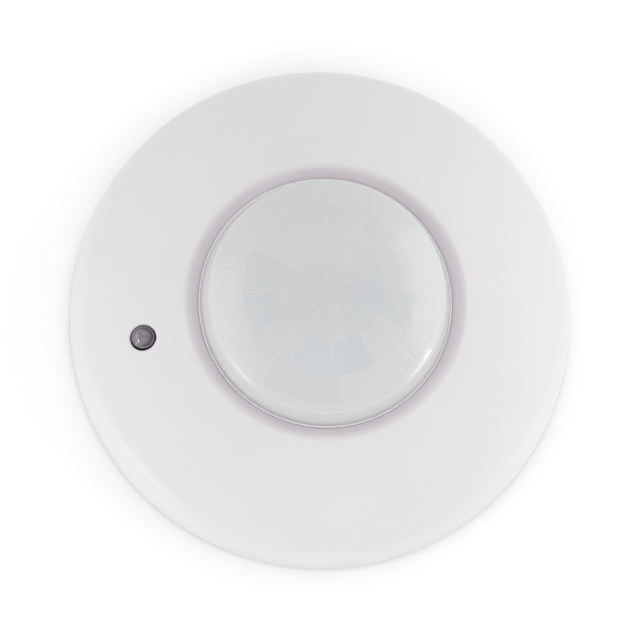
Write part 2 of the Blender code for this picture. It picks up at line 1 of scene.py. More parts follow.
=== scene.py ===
"""Looks of the round ceiling motion sensor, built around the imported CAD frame.

The frame is in metres with +Z along the lens axis; the helpers below take millimetres.
"""
import math

import bmesh
import bpy
from mathutils import Matrix, Vector
from mathutils.geometry import delaunay_2d_cdt


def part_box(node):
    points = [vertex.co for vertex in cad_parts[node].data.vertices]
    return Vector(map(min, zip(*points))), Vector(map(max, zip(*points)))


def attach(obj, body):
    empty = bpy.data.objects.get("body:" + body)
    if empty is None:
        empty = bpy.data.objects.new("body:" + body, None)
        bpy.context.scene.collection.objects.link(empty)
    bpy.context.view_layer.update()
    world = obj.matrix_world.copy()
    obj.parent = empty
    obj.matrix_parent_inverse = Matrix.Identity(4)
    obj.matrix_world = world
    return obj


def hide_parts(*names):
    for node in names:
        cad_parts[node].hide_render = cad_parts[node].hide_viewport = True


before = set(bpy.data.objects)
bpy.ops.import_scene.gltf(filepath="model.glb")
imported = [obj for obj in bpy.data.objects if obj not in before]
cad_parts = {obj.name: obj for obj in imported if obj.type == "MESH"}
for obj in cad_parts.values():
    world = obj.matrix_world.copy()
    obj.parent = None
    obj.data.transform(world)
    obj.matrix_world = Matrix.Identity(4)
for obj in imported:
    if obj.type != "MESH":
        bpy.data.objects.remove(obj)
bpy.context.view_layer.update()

MM = 0.001
FULL_TURN = 360.0


def box_mm(node):
    """The lowest and highest corners of a CAD node, in millimetres."""
    low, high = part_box(node)
    return Vector(low) / MM, Vector(high) / MM


# ---------------------------------------------------------------- sizes taken from the frame
COVER_LOW, COVER_HIGH = box_mm("front_cover")
LENS_LOW, LENS_HIGH = box_mm("fresnel_lens")
WINDOW_LOW, WINDOW_HIGH = box_mm("smoked_window")

COVER_RADIUS = COVER_HIGH.x
COVER_BOTTOM = COVER_LOW.z
COVER_WALL = 2.05
SIDE_DRAFT = 0.75
EDGE_HEIGHT = 12.4
EDGE_FILLET = 6.0
FACE_BEND = (44.0, 19.9)
FACE_BEND_FILLET = 100.0
LIP = (31.0, 24.9)
LIP_FILLET = 1.7
COLLAR_RADIUS = 28.6
COLLAR_TOP = 22.3
COLLAR_BOTTOM = 19.2
COLLAR_WALL = 2.2
COLLAR_ROUNDING = 0.3
FACE_INNER = 33.6            # the face between these radii holds the window
FACE_OUTER = 52.6

LENS_APEX = LENS_HIGH.z
LENS_BOTTOM = LENS_LOW.z
LENS_FLANGE_RADIUS = LENS_HIGH.x
LENS_DOME_RADIUS = 41.0
LENS_WALL = 0.9
LENS_SKIRT_RADIUS = 28.2
LENS_WAIST = 22.9
LENS_FOOT_RADIUS = 28.54
LENS_FOOT_TOP = COLLAR_TOP + 0.1
LENS_SHOULDER = (26.5, 29.9)
LENS_SHOULDER_FILLET = 2.0
# each ring's start and end radius, how many facets it has and where the first one starts
FACET_RINGS = ((0.0, 6.4, 4, 4.8), (6.4, 12.1, 8, 4.8), (12.1, 19.0, 12, -9.2), (19.0, 24.6, 16, -3.7))
FACETS_END = FACET_RINGS[-1][1]
FACET_STEP = 0.45            # spacing of the points round each ring's edge

WINDOW_CENTRE = Vector(((WINDOW_LOW.x + WINDOW_HIGH.x) / 2, (WINDOW_LOW.y + WINDOW_HIGH.y) / 2))
WINDOW_RADIUS = 2.62
WINDOW_HOLE = 2.9
WINDOW_FLANGE_RADIUS = 3.55
WINDOW_FLANGE_TOP = 16.1
WINDOW_APEX = WINDOW_HIGH.z
WINDOW_LEDGE = WINDOW_APEX - 1.35
BEAD_RADIUS = 2.3
WINDOW_SHIFT = 0.2            # the window sits a little off the middle of its hole
WINDOW_SHIFT_ANGLE = 78.0
HOLE_ROUNDING = 0.45
LINING_ROUNDING = 0.02
HOLE_SEGMENTS = 96

PLATE_TOP = 2.4
BOARD_TOP = box_mm("main_board")[1].z
LUG_ANGLES = (30.0, 150.0, 270.0)
LUG_WIDTH = 16.0
EAR_ANGLES = (90.0, 210.0, 330.0)
EAR_CENTRE_RADIUS = 36.5
KEY_CENTRE = 25.6


# ---------------------------------------------------------------- profiles
def rounded(corners, steps=10):
    """An outline through (x, z, fillet radius) corners, with each fillet as an arc."""
    outline = []
    for index, (x, z, radius) in enumerate(corners):
        corner = Vector((x, z))
        if not radius:
            outline.append(corner)
            continue
        before = (Vector(corners[index - 1][:2]) - corner).normalized()
        after = (Vector(corners[(index + 1) % len(corners)][:2]) - corner).normalized()
        half = before.angle(after) / 2
        centre = corner + (before + after).normalized() * radius / math.sin(half)
        first = corner + before * radius / math.tan(half) - centre
        last = corner + after * radius / math.tan(half) - centre
        turn = math.atan2(first.cross(last), first.dot(last))
        for step in range(steps + 1):
            outline.append(centre + Matrix.Rotation(turn * step / steps, 2) @ first)
    return outline


def face_at(outline, radius):
    """The height of an outline's face at a radius, where its radius grows past the crest."""
    face = outline[crest_of(outline):]
    for start, end in zip(face, face[1:]):
        if start.x <= radius <= end.x and end.x > start.x:
            return start.y + (end.y - start.y) * (radius - start.x) / (end.x - start.x)
    raise ValueError(f"no height at {radius}")


def crest_of(outline):
    """The number of an outline's highest point."""
    return max(range(len(outline)), key=lambda index: outline[index].y)


def dome_height(radius, depth=0.0):
    """The height of the lens's spherical top, or of the sphere at a depth under it."""
    return LENS_APEX - LENS_DOME_RADIUS + math.sqrt((LENS_DOME_RADIUS - depth) ** 2 - radius * radius)


def polar(radius, angle):
    """The point at a radius and an angle in degrees about the lens axis."""
    return Vector((radius * math.cos(math.radians(angle)), radius * math.sin(math.radians(angle))))


def circle(radius, count, centre=(0.0, 0.0)):
    """Points evenly round a circle."""
    return [Vector(centre[:2]) + polar(radius, FULL_TURN * index / count) for index in range(count)]


# ---------------------------------------------------------------- mesh helpers
def link(name, bm, sharp=35.0):
    """Turn a bmesh into a smooth object with its faces outward."""
    bmesh.ops.remove_doubles(bm, verts=bm.verts, dist=0.000002)
    bmesh.ops.recalc_face_normals(bm, faces=bm.faces)
    mesh = bpy.data.meshes.new(name)
    bm.to_mesh(mesh)
    bm.free()
    mesh.shade_smooth()
    mesh.set_sharp_from_angle(angle=math.radians(sharp))
    piece = bpy.data.objects.new(name, mesh)
    bpy.context.scene.collection.objects.link(piece)
    return piece


def verts(bm, points, height=None):
    """New vertices at (x, y, z) points, or at (x, y) points and one height."""
    return [bm.verts.new(Vector(p if height is None else (p[0], p[1], height)) * MM) for p in points]


def bridge(bm, rows, loop=False, rings=True):
    """Join rows of vertices by faces. A row is a ring unless rings is off, and one vertex is a tip."""
    for first, second in zip(rows, rows[1:] + rows[:1] if loop else rows[1:]):
        count = max(len(first), len(second))
        for index in range(count if rings else count - 1):
            after = (index + 1) % count
            corners = (first[index % len(first)], second[index % len(second)],
                       second[after % len(second)], first[after % len(first)])
            bm.faces.new(list(dict.fromkeys(corners)))


def add_turned(bm, outline, segments, centre=(0.0, 0.0), loop=False):
    """Add a surface of revolution through (radius, height) points; a radius of 0 closes it."""
    bridge(bm, [verts(bm, circle(x, segments if x > 1e-6 else 1, centre), z) for x, z in outline], loop)


def add_sheet(bm, points, edges, height, keep):
    """Add a triangulated sheet over (x, y) points, raised by height(point), where keep(point) holds."""
    flat, _, faces = delaunay_2d_cdt(points, edges, [], 0, 1e-6)[:3]
    raised = verts(bm, [(p.x, p.y, height(p)) for p in flat])
    made = []
    for face in faces:
        if keep(sum((flat[i] for i in face), Vector((0.0, 0.0))) / len(face)):
            made.append(bm.faces.new([raised[i] for i in face]))
    bmesh.ops.delete(bm, geom=[v for v in raised if not v.link_faces], context="VERTS")
    return made


# ---------------------------------------------------------------- materials
class Shader:
    """A Principled material with small helpers to wire procedural detail into it."""

    def __init__(self, name, colour, roughness, metallic=0.0):
        self.material = bpy.data.materials.new(name)
        self.material.use_nodes = True
        self.tree = self.material.node_tree
        self.surface = self.tree.nodes["Principled BSDF"]
        self.body = colour
        self.set("Base Color", (*colour, 1.0))
        self.set("Roughness", roughness)
        self.set("Metallic", metallic)
        self.position = self.node("ShaderNodeTexCoord").outputs["Object"]

    def set(self, socket, value):
        """Set a plain value on the shader."""
        self.surface.inputs[socket].default_value = value

    def node(self, kind, *values, **named):
        """A new node. Values go to its inputs in order, and names to inputs or attributes."""
        made = self.tree.nodes.new(kind)
        for socket, value in zip(made.inputs, values):
            self.feed(socket, value)
        for key, value in named.items():
            if key in made.inputs:
                made.inputs[key].default_value = value
            else:
                setattr(made, key, value)
        return made

    def feed(self, socket, value):
        """Connect an output to an input, or set a plain value or colour on it."""
        if isinstance(value, bpy.types.NodeSocket):
            self.tree.links.new(value, socket)
        else:
            socket.default_value = (*value, 1.0) if socket.type == "RGBA" else value

    def noise(self, scale, detail=2.0, roughness=0.5):
        """Noise in object space, scale per metre."""
        return self.node("ShaderNodeTexNoise", self.position, Scale=scale, Detail=detail,
                         Roughness=roughness).outputs["Fac"]

    def ramp(self, value, *limits):
        """Map a value's range onto another: limits are its low and high, and what they turn into."""
        return self.node("ShaderNodeMapRange", value, *limits).outputs["Result"]

    def patches(self, scale, low, high, most, detail=4.0, roughness=0.5):
        """Soft patches of noise that rise from 0 to most between two levels."""
        return self.ramp(self.noise(scale, detail, roughness), low, high, 0.0, most)

    def layer(self, name, most=1.0):
        """What a mesh's attribute says, from 0 to most."""
        value = self.node("ShaderNodeAttribute", attribute_name=name).outputs["Fac"]
        return value if most == 1.0 else self.ramp(value, 0.0, 1.0, 0.0, most)

    def tint(self, factor, colour):
        """Blend what the base colour is so far towards another colour."""
        mix = self.node("ShaderNodeMix", factor, data_type="RGBA")
        self.feed(mix.inputs[6], self.body)
        self.feed(mix.inputs[7], colour)
        self.body = mix.outputs[2]
        self.feed(self.surface.inputs["Base Color"], self.body)

    def vary_roughness(self, value, low, high):
        """Let a noise move the roughness between two values."""
        self.feed(self.surface.inputs["Roughness"], self.ramp(value, 0.3, 0.7, low, high))

    def bump(self, value, height):
        """Raise the surface by a value times a height in metres."""
        made = self.node("ShaderNodeBump", Distance=height)
        self.feed(made.inputs["Height"], value)
        self.feed(self.surface.inputs["Normal"], made.outputs["Normal"])


def moulded(name, colour, roughness, grain, grain_height, shade):
    """Moulded plastic: fine grain, and colour that varies a little over the piece."""
    made = Shader(name, colour, roughness)
    made.bump(made.noise(grain, 3.0), grain_height)
    made.tint(made.patches(60.0, 0.3, 0.7, 1.0), tuple(c * shade for c in colour))
    made.vary_roughness(made.noise(220.0, 3.0), roughness - 0.03, roughness + 0.04)
    return made


def cover_plastic():
    """Satin ABS, very slightly lilac, with a fine spark-eroded texture, and painted light on the collar:
    paler towards the lens, lifting the shade in the groove round it.
    """
    made = moulded("cover_plastic", (0.672, 0.655, 0.674), 0.42, 7000.0, 0.000008, 0.985)
    # painted light: the cover turns paler and pinker towards the lens, standing in for light in the shaded
    # groove between lip and lens
    flat = made.node("ShaderNodeVectorMath", made.position, (1.0, 1.0, 0.0), operation="MULTIPLY")
    away = made.node("ShaderNodeVectorMath", flat.outputs[0], operation="LENGTH").outputs["Value"]
    made.tint(made.ramp(away, (LIP[0] - 1.8) * MM, (LIP[0] + 0.1) * MM, 1.0, 0.0), (0.820, 0.755, 0.805))
    made.set("Specular IOR Level", 0.45)
    made.set("Subsurface Weight", 0.12)
    made.set("Subsurface Radius", (0.0012, 0.0010, 0.0011))
    return made.material


def lens_plastic():
    """Milky polyethylene, with painted light and shade: each facet tinted lighter or darker as if it caught
    the light its own way, pale painted highlights down the seams, painted shade along the faint concentric
    grooves between the rings and a whiter foot as a painted highlight.
    """
    made = Shader("lens_plastic", (0.590, 0.594, 0.596), 0.15)
    made.set("Subsurface Weight", 0.6)
    made.set("Subsurface Radius", (0.0030, 0.0031, 0.0033))
    made.set("IOR", 1.51)
    # painted light and shade: each facet lighter or darker by its own amount, as if it caught the light its
    # own way
    made.tint(made.layer("facet_painted_shade"), (0.550, 0.566, 0.582))
    # painted shade: darker lines along the borders between the rings of facets
    made.tint(made.layer("border_shade", 0.75), (0.50, 0.51, 0.52))
    # painted highlight: pale lines down the seams between facets
    made.tint(made.layer("seam", 0.45), (0.680, 0.672, 0.672))
    made.tint(made.patches(140.0, 0.35, 0.65, 0.12, roughness=0.6), (0.555, 0.555, 0.555))
    # painted highlight: the lens's foot is whitened to stand for the thin bright line of light along it
    made.tint(made.layer("rim"), (0.90, 0.90, 0.91))
    made.vary_roughness(made.noise(300.0, 3.0), 0.13, 0.18)
    made.bump(made.noise(2600.0, 3.0), 0.000004)
    return made.material


def window_plastic():
    """Smoked, polished acrylic over a grey interior."""
    made = Shader("window_plastic", (0.098, 0.074, 0.102), 0.06)
    made.set("Coat Weight", 1.0)
    made.set("Coat Roughness", 0.04)
    made.set("Coat IOR", 1.9)
    made.set("IOR", 1.6)
    made.tint(made.patches(900.0, 0.35, 0.7, 1.0), (0.118, 0.093, 0.121))
    made.vary_roughness(made.noise(2500.0, 3.0), 0.05, 0.09)
    return made.material


# ---------------------------------------------------------------- cover
def cover_outline():
    """The cover's outer profile, from the collar over the lip and face to the bottom edge."""
    return rounded([
        (COLLAR_RADIUS, COLLAR_BOTTOM, 0), (COLLAR_RADIUS, COLLAR_TOP, COLLAR_ROUNDING), (*LIP, LIP_FILLET),
        (*FACE_BEND, FACE_BEND_FILLET), (COVER_RADIUS - SIDE_DRAFT, EDGE_HEIGHT, EDGE_FILLET),
        (COVER_RADIUS, COVER_BOTTOM, 0.25), (COVER_RADIUS - COVER_WALL, COVER_BOTTOM, 0)])


def cover_lining():
    """The cover's inner profile, from the collar's outside to the bottom edge."""
    inner = COVER_RADIUS - COVER_WALL
    return rounded([
        (COLLAR_RADIUS + COLLAR_WALL, COLLAR_BOTTOM, 0), (COLLAR_RADIUS + COLLAR_WALL, COLLAR_TOP - 1.2, 0.6),
        (LIP[0] + 1.4, LIP[1] - 2.4, 0.6), (FACE_BEND[0] - 0.6, FACE_BEND[1] - 2.0, FACE_BEND_FILLET),
        (inner - SIDE_DRAFT, EDGE_HEIGHT - 1.3, EDGE_FILLET - COVER_WALL), (inner, COVER_BOTTOM, 0)])


def add_face(bm, outline, segments, rounding):
    """Add the face between FACE_INNER and FACE_OUTER, with the rounded window hole in it."""
    bends = [math.pi / 2 * step / 6 for step in range(7)]
    rings = [WINDOW_HOLE + rounding * (1 - math.cos(bend)) for bend in bends]
    rings += [WINDOW_HOLE + rounding + extra for extra in (0.25, 0.6, 1.1, 1.8, 2.7)]
    radii = [FACE_INNER + (FACE_OUTER - FACE_INNER) * step / 19 for step in range(20)]
    points = []
    for radius in radii:
        edge = radius in (radii[0], radii[-1])
        points += [p for p in circle(radius, segments)
                   if edge or (p - WINDOW_CENTRE).length > rings[-1] + 0.5]
    for radius in rings:
        points += circle(radius, HOLE_SEGMENTS, WINDOW_CENTRE)

    def height(place):
        side = 1 - ((place - WINDOW_CENTRE).length - WINDOW_HOLE) / rounding
        drop = rounding * (1 - math.sqrt(1 - min(1.0, max(0.0, side)) ** 2))
        return face_at(outline, min(max(place.length, FACE_INNER), FACE_OUTER)) - drop

    def keep(place):
        return FACE_INNER < place.length < FACE_OUTER and (place - WINDOW_CENTRE).length > WINDOW_HOLE - 0.01

    add_sheet(bm, points, [], height, keep)


def add_hole_wall(bm, top_outline, low_outline):
    """Add the wall of the window's hole, between the face and the lining."""
    rows = []
    for share in (0.0, 0.33, 0.66, 1.0):
        row = []
        for place in circle(WINDOW_HOLE, HOLE_SEGMENTS, WINDOW_CENTRE):
            top = face_at(top_outline, place.length) - HOLE_ROUNDING
            low = face_at(low_outline, place.length) - LINING_ROUNDING
            row.append((place.x, place.y, top + (low - top) * share))
        rows.append(verts(bm, row))
    bridge(bm, rows)


def add_cover_fittings(bm):
    """Add the bayonet lugs inside the side wall and the screw bosses under the face."""
    steps = 24
    section = ((52.0, 2.95), (52.15, 2.8), (55.9, 2.8), (55.9, 4.6), (52.3, 4.6), (52.0, 4.3))
    for angle in LUG_ANGLES:
        angles = [angle - LUG_WIDTH / 2 + LUG_WIDTH * step / steps for step in range(steps + 1)]
        rings = [verts(bm, [(*polar(r, a), z) for r, z in section]) for a in angles]
        bridge(bm, rings)
        bm.faces.new(rings[0])
        bm.faces.new(rings[-1])
    low = box_mm("lens_retaining_ring")[1].z + 0.3
    boss = rounded([(1.3, 19.0, 0), (1.3, low, 0.15), (2.6, low, 0.2), (2.6, 21.3, 0)], 3)
    for angle in EAR_ANGLES:
        add_turned(bm, [(0.0, 19.0)] + boss, 32, polar(EAR_CENTRE_RADIUS, angle))


def make_cover():
    """The saucer cover."""
    segments = 256
    shell, lining = cover_outline(), cover_lining()
    bm = bmesh.new()
    for outline, rounding in ((shell, HOLE_ROUNDING), (lining, LINING_ROUNDING)):
        crest = crest_of(outline)
        lip = [p for i, p in enumerate(outline) if i <= crest or p.x < FACE_INNER]
        side = [p for i, p in enumerate(outline) if i > crest and p.x > FACE_OUTER]
        add_turned(bm, lip + [(FACE_INNER, face_at(outline, FACE_INNER))], segments)
        add_turned(bm, [(FACE_OUTER, face_at(outline, FACE_OUTER))] + side, segments)
        add_face(bm, outline, segments, rounding)
    add_hole_wall(bm, shell, lining)
    add_turned(bm, [shell[0], lining[0]], segments)
    add_cover_fittings(bm)
    dress(link("cover_shell", bm), cover_plastic(), "cover", "cover_plastic", "front_cover")


# ---------------------------------------------------------------- lens
SEAM_WIDTH = 0.16
SEAM_DEPTH = 0.02
# painted light and shade: how far each ring's facets, in order around the lens, lean towards the cooler,
# darker grey, as if each caught the light its own way
FACET_PAINTED_SHADES = ((0.6, 0.55, 0.6, 0.65),
               (0.7, 0.35, 0.15, 0.5, 0.8, 0.7, 0.8, 1.0),
               (0.6, 0.4, 0.1, 0.15, 0.1, 0.8, 0.9, 0.5, 1.0, 1.0, 0.1, 0.8),
               (0.1, 0.0, 0.1, 0.0, 0.05, 0.1, 0.0, 0.1, 0.05, 0.2, 0.6, 0.6, 0.1, 0.0, 0.1, 0.05))


def facet_points():
    """Points on the facets' borders, down the seams between them and across the facets."""
    points = []
    half = SEAM_WIDTH / 2
    for start, end, count, offset in FACET_RINGS:
        steps = max(3, round((end - start) / 0.9))
        first_row = start + half if start else 0.4
        for row in range(steps + 1):
            radius = first_row + (end - half - first_row) * row / steps
            step_count = max(4, round(2 * math.pi * radius / count / 0.8))
            edge = math.degrees(half / radius)
            width = FULL_TURN / count - 2 * edge
            for sector in range(count):
                first = offset + FULL_TURN * sector / count
                points += [polar(radius, first + edge + width * step / step_count)
                           for step in range(step_count + 1)]
                points.append(polar(radius, first))
        points += circle(end, round(2 * math.pi * end / FACET_STEP))
    return points + [Vector((0.0, 0.0))]


def facet_at(place):
    """A point's ring and sector numbers, and its distances to the nearest radial and round seams."""
    radius = place.length
    for number, (start, end, count, offset) in enumerate(FACET_RINGS):
        if radius < end:
            width = FULL_TURN / count
            turned = (math.degrees(math.atan2(place.y, place.x)) - offset) % FULL_TURN
            within = turned % width
            across = math.radians(min(within, width - within)) * radius
            return number, int(turned // width), across, min(end - radius, (radius - start) if start else end)
    return 0, 0, radius, radius


def add_facets(bm, facet_shade, seam, border_shade):
    """Add the lens's domed middle with its rings of facets, and fill the three layers that carry its painted
    light and shade.
    """
    def height(place):
        away = min(facet_at(place)[2:])
        groove = SEAM_DEPTH * max(0.0, 1 - away / (SEAM_WIDTH / 2))
        return dome_height(place.length) - (groove if place.length <= FACETS_END - 0.02 else 0.0)

    for face in add_sheet(bm, facet_points(), [], height, lambda place: place.length < FACETS_END):
        ring, sector, across, along = facet_at(face.calc_center_median().xy / MM)
        face[facet_shade] = FACET_PAINTED_SHADES[ring][sector]
        face[seam] = 1.0 if across < SEAM_WIDTH / 2 else 0.0
        face[border_shade] = 1.0 if along < SEAM_WIDTH / 2 else 0.0


def lens_outline():
    """The smooth outer part of the lens: shoulder, skirt, flange and hollow."""
    hollow_skirt = LENS_SKIRT_RADIUS - LENS_WALL
    low = COLLAR_BOTTOM - 0.3
    corners = rounded([
        (FACETS_END + 0.35, dome_height(FACETS_END + 0.35), 0),
        (*LENS_SHOULDER, LENS_SHOULDER_FILLET),
        (LENS_SKIRT_RADIUS - 0.02, LENS_FOOT_TOP + 0.05, 0.05), (LENS_FOOT_RADIUS, LENS_FOOT_TOP, 0.12),
        (LENS_FOOT_RADIUS, low, 0.05), (LENS_FLANGE_RADIUS, low, 0.15),
        (LENS_FLANGE_RADIUS, LENS_BOTTOM, 0.15),
        (hollow_skirt, LENS_BOTTOM, 0.1), (hollow_skirt, LENS_WAIST - 0.2, 1.0),
        (LENS_SHOULDER[0] - 0.8, LENS_SHOULDER[1] - 0.5, LENS_SHOULDER_FILLET - LENS_WALL),
        (FACETS_END - 0.3, dome_height(FACETS_END - 0.3, LENS_WALL), 0)])
    hollow = [(r, dome_height(r, LENS_WALL)) for r in (22.0, 18.0, 14.0, 10.0, 6.0, 3.0, 0.0)]
    return [(FACETS_END, dome_height(FACETS_END))] + corners + hollow


def make_lens():
    """The dome lens: facets, smooth body and the two stops that hold the key."""
    bm = bmesh.new()
    for name in ("facet_painted_shade", "seam", "border_shade", "rim"):
        bm.faces.layers.float.new(name)
    facet_shade, seam, border_shade, rim = bm.faces.layers.float.values()
    add_turned(bm, lens_outline(), round(2 * math.pi * FACETS_END / FACET_STEP))
    # the rim layer marks the lens's foot, which gets a painted highlight
    for face in bm.faces:
        middle = face.calc_center_median() / MM
        foot_highlight = middle.xy.length > LENS_SKIRT_RADIUS - 0.1 and COLLAR_TOP < middle.z < LENS_FOOT_TOP + 0.2
        face[rim] = 1.0 if foot_highlight else 0.0
    add_facets(bm, facet_shade, seam, border_shade)
    for side in (-1, 1):
        add_block(bm, (1.2, 3.4), (side * 2.0, KEY_CENTRE + 0.6), LENS_BOTTOM, 21.0)
    dress(link("lens_dome", bm, 14.0), lens_plastic(), "lens_carrier", "lens_plastic", "fresnel_lens")


# ---------------------------------------------------------------- window
def make_window():
    """The small smoked window: a domed bead on a ledge, over the flange behind the cover."""
    steps = 36
    spread = math.acos(1 - (WINDOW_APEX - WINDOW_LEDGE) / BEAD_RADIUS)
    tilts = [spread * step / steps for step in range(steps + 1)]
    dome = [(BEAD_RADIUS * math.sin(tilt), WINDOW_APEX - BEAD_RADIUS * (1 - math.cos(tilt)))
            for tilt in tilts]
    outline = dome + rounded([
        (dome[-1][0] + 0.06, WINDOW_LEDGE - 0.05, 0), (WINDOW_RADIUS - 0.2, WINDOW_LEDGE - 0.05, 0.08),
        (WINDOW_RADIUS, WINDOW_LEDGE - 0.2, 0.12), (WINDOW_RADIUS, WINDOW_FLANGE_TOP, 0),
        (WINDOW_FLANGE_RADIUS, WINDOW_FLANGE_TOP, 0.15), (WINDOW_FLANGE_RADIUS, WINDOW_LOW.z, 0.15),
        (0.0, WINDOW_LOW.z, 0)])
    bm = bmesh.new()
    add_turned(bm, outline, 96, WINDOW_CENTRE + polar(WINDOW_SHIFT, WINDOW_SHIFT_ANGLE))
    dress(link("window_bead", bm), window_plastic(), "cover", "window_plastic", "smoked_window")


# ---------------------------------------------------------------- shapes for the inner pieces
def centre_of(node):
    """The middle of a CAD node's box, in millimetres."""
    return sum(box_mm(node), Vector()) / 2


def seat(node, host=None):
    """The middle of a node's underside, with local X pointing away from the lens axis."""
    middle, aim = centre_of(node), centre_of(host or node)
    low = box_mm(node)[0].z
    turn = Matrix.Rotation(math.atan2(aim.y, aim.x), 4, "Z")
    return Matrix.Translation(Vector((middle.x, middle.y, low)) * MM) @ turn


def tall(node):
    """The height of a node."""
    low, high = box_mm(node)
    return high.z - low.z


def node_size(node, place):
    """A node's size along its own axes."""
    turned = place.inverted()
    corners = [turned @ v.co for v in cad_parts[node].data.vertices]
    return Vector([(max(c[i] for c in corners) - min(c[i] for c in corners)) / MM for i in range(3)])


def shape(*parts):
    """A bmesh of (builder, argument, ...) parts."""
    bm = bmesh.new()
    for build, *values in parts:
        build(bm, *values)
    return bm


def add_placed(bm, place, build, *values):
    """Add what a builder makes, moved to a place."""
    known = set(bm.verts)
    build(bm, *values)
    bmesh.ops.transform(bm, matrix=place, verts=[v for v in bm.verts if v not in known])


def add_loft(bm, outline, sections, centre=(0.0, 0.0)):
    """Add a closed stack of an outline's rings, at (inset, height) sections from the lowest up."""
    rings = [verts(bm, [(x + centre[0], y + centre[1]) for x, y in outline(inset)], z)
             for inset, z in sections]
    bridge(bm, rings)
    bm.faces.new(rings[0])
    bm.faces.new(rings[-1])


def rounded_rectangle(width, depth, corner, steps=5):
    """A function that gives a rounded rectangle's points at an inset."""
    def points(inset):
        radius = max(corner - inset, 0.02)
        right, back = width / 2 - inset - radius, depth / 2 - inset - radius
        outline = []
        for quarter, (x, y) in enumerate(((1, 1), (-1, 1), (-1, -1), (1, -1))):
            for step in range(steps + 1):
                place = polar(radius, 90 * quarter + 90 * step / steps)
                outline.append((x * right + place.x, y * back + place.y))
        return outline
    return points


def edge_sections(bottom, top, radius, steps=4):
    """Sections of a block whose lower and upper edges are rounded."""
    arc = [(radius * (1 - math.sin(a)), radius * (1 - math.cos(a)))
           for a in (math.pi / 2 * step / steps for step in range(steps + 1))]
    return ([(inset, bottom + rise) for inset, rise in arc]
            + [(inset, top - rise) for inset, rise in arc[::-1]])


def add_block(bm, size, centre, bottom, top, corner=0.3, edge=0.15):
    """Add a block with rounded corners and edges."""
    add_loft(bm, rounded_rectangle(*size, corner), edge_sections(bottom, top, edge), centre)


def add_strip(bm, rows):
    """Add a closed strip from the four rows of points along its edges."""
    rows = [verts(bm, row) for row in rows]
    bridge(bm, rows, loop=True, rings=False)
    for end in (0, -1):
        bm.faces.new([row[end] for row in rows])


def add_ribbon(bm, path, width, thickness, turn=0.0, offset=(0.0, 0.0)):
    """Add a flat strip along (x, z) points, width across, turned about Z and moved."""
    upper, lower = [], []
    for index, spot in enumerate(path):
        before, after = Vector(path[max(index - 1, 0)]), Vector(path[min(index + 1, len(path) - 1)])
        along = (after - before).normalized()
        side = Vector((-along.y, along.x)) * thickness / 2
        upper.append(Vector(spot) + side)
        lower.append(Vector(spot) - side)
    place = Matrix.Translation((*offset, 0)) @ Matrix.Rotation(math.radians(turn), 4, "Z")
    add_strip(bm, [[place @ Vector((p.x, side * width / 2, p.y)) for p in edge]
                   for side, edge in ((-1, upper), (-1, lower), (1, lower), (1, upper))])


def add_pin(bm, radius, top, bottom, centre=(0.0, 0.0)):
    """Add a plain round pin."""
    add_turned(bm, [(0.0, top), (radius, top), (radius, bottom), (0.0, bottom)], 16, centre)


def add_headed(bm, radius, bottom, top, crown, recess, depth, rounding=0.2, segments=48):
    """Add a round head with a shallow crown and a recess of a given (x, y) outline in its top."""
    rim = radius - rounding
    points = circle(rim, segments)
    for share in (0.8, 0.55, 0.3):
        points += [polar(rim * share, FULL_TURN * (index + share) / 24) for index in range(24)]
    hollow = [Vector(p) for p in recess]
    outside = [p for p in points if not within(p, hollow, 0.12)]
    start, count = len(outside), len(hollow)
    edges = [(start + i, start + (i + 1) % count) for i in range(count)]

    def height(place):
        return top - crown * (place.length / rim) ** 2

    add_sheet(bm, outside + hollow, edges, height, lambda place: not within(place, hollow, 0.0))
    foot = verts(bm, [p * 0.94 for p in hollow], top - depth)
    bridge(bm, [verts(bm, [(*p, height(p)) for p in hollow]), foot])
    bm.faces.new(foot)
    bends = [math.pi / 2 * step / 4 for step in range(1, 5)]
    side = [(rim + rounding * math.sin(bend), top - crown - rounding * (1 - math.cos(bend)))
            for bend in bends]
    foot_edge = [(radius, bottom + 0.08), (radius - 0.08, bottom), (0.0, bottom)]
    add_turned(bm, [(rim, top - crown)] + side + foot_edge, segments)


def within(place, outline, margin):
    """Whether a point lies in an outline, or within a margin of it."""
    found = False
    for index, first in enumerate(outline):
        second = outline[(index + 1) % len(outline)]
        if (first.y > place.y) != (second.y > place.y):
            cross = first.x + (place.y - first.y) * (second.x - first.x) / (second.y - first.y)
            found = found != (place.x < cross)
        along = second - first
        share = min(1.0, max(0.0, (place - first).dot(along) / along.dot(along)))
        if margin and (place - first - along * share).length < margin:
            return True
    return found


def slot_outline(width, length):
    """A straight screwdriver slot."""
    x, y = width / 2, length / 2
    return [(x, -y), (x, 0), (x, y), (-x, y), (-x, 0), (-x, -y)]


def cross_outline(width, length):
    """A cross recess."""
    near, far = width / 2, length / 2
    return [(far, -near), (far, near), (near, near), (near, far), (-near, far), (-near, near),
            (-far, near), (-far, -near), (-near, -near), (-near, -far), (near, -far), (near, -near)]


def thread_outline(radius, bottom, top, pitch=0.7):
    """A screw's shank from the head down: ridges of its thread and a blunt point."""
    outline = [(radius, top)]
    z = top - 0.4
    while z > bottom + 0.9:
        outline += [(radius - 0.28, z), (radius, z - pitch / 2)]
        z -= pitch
    return outline + [(radius - 0.3, bottom + 0.5), (radius * 0.35, bottom), (0.0, bottom)]


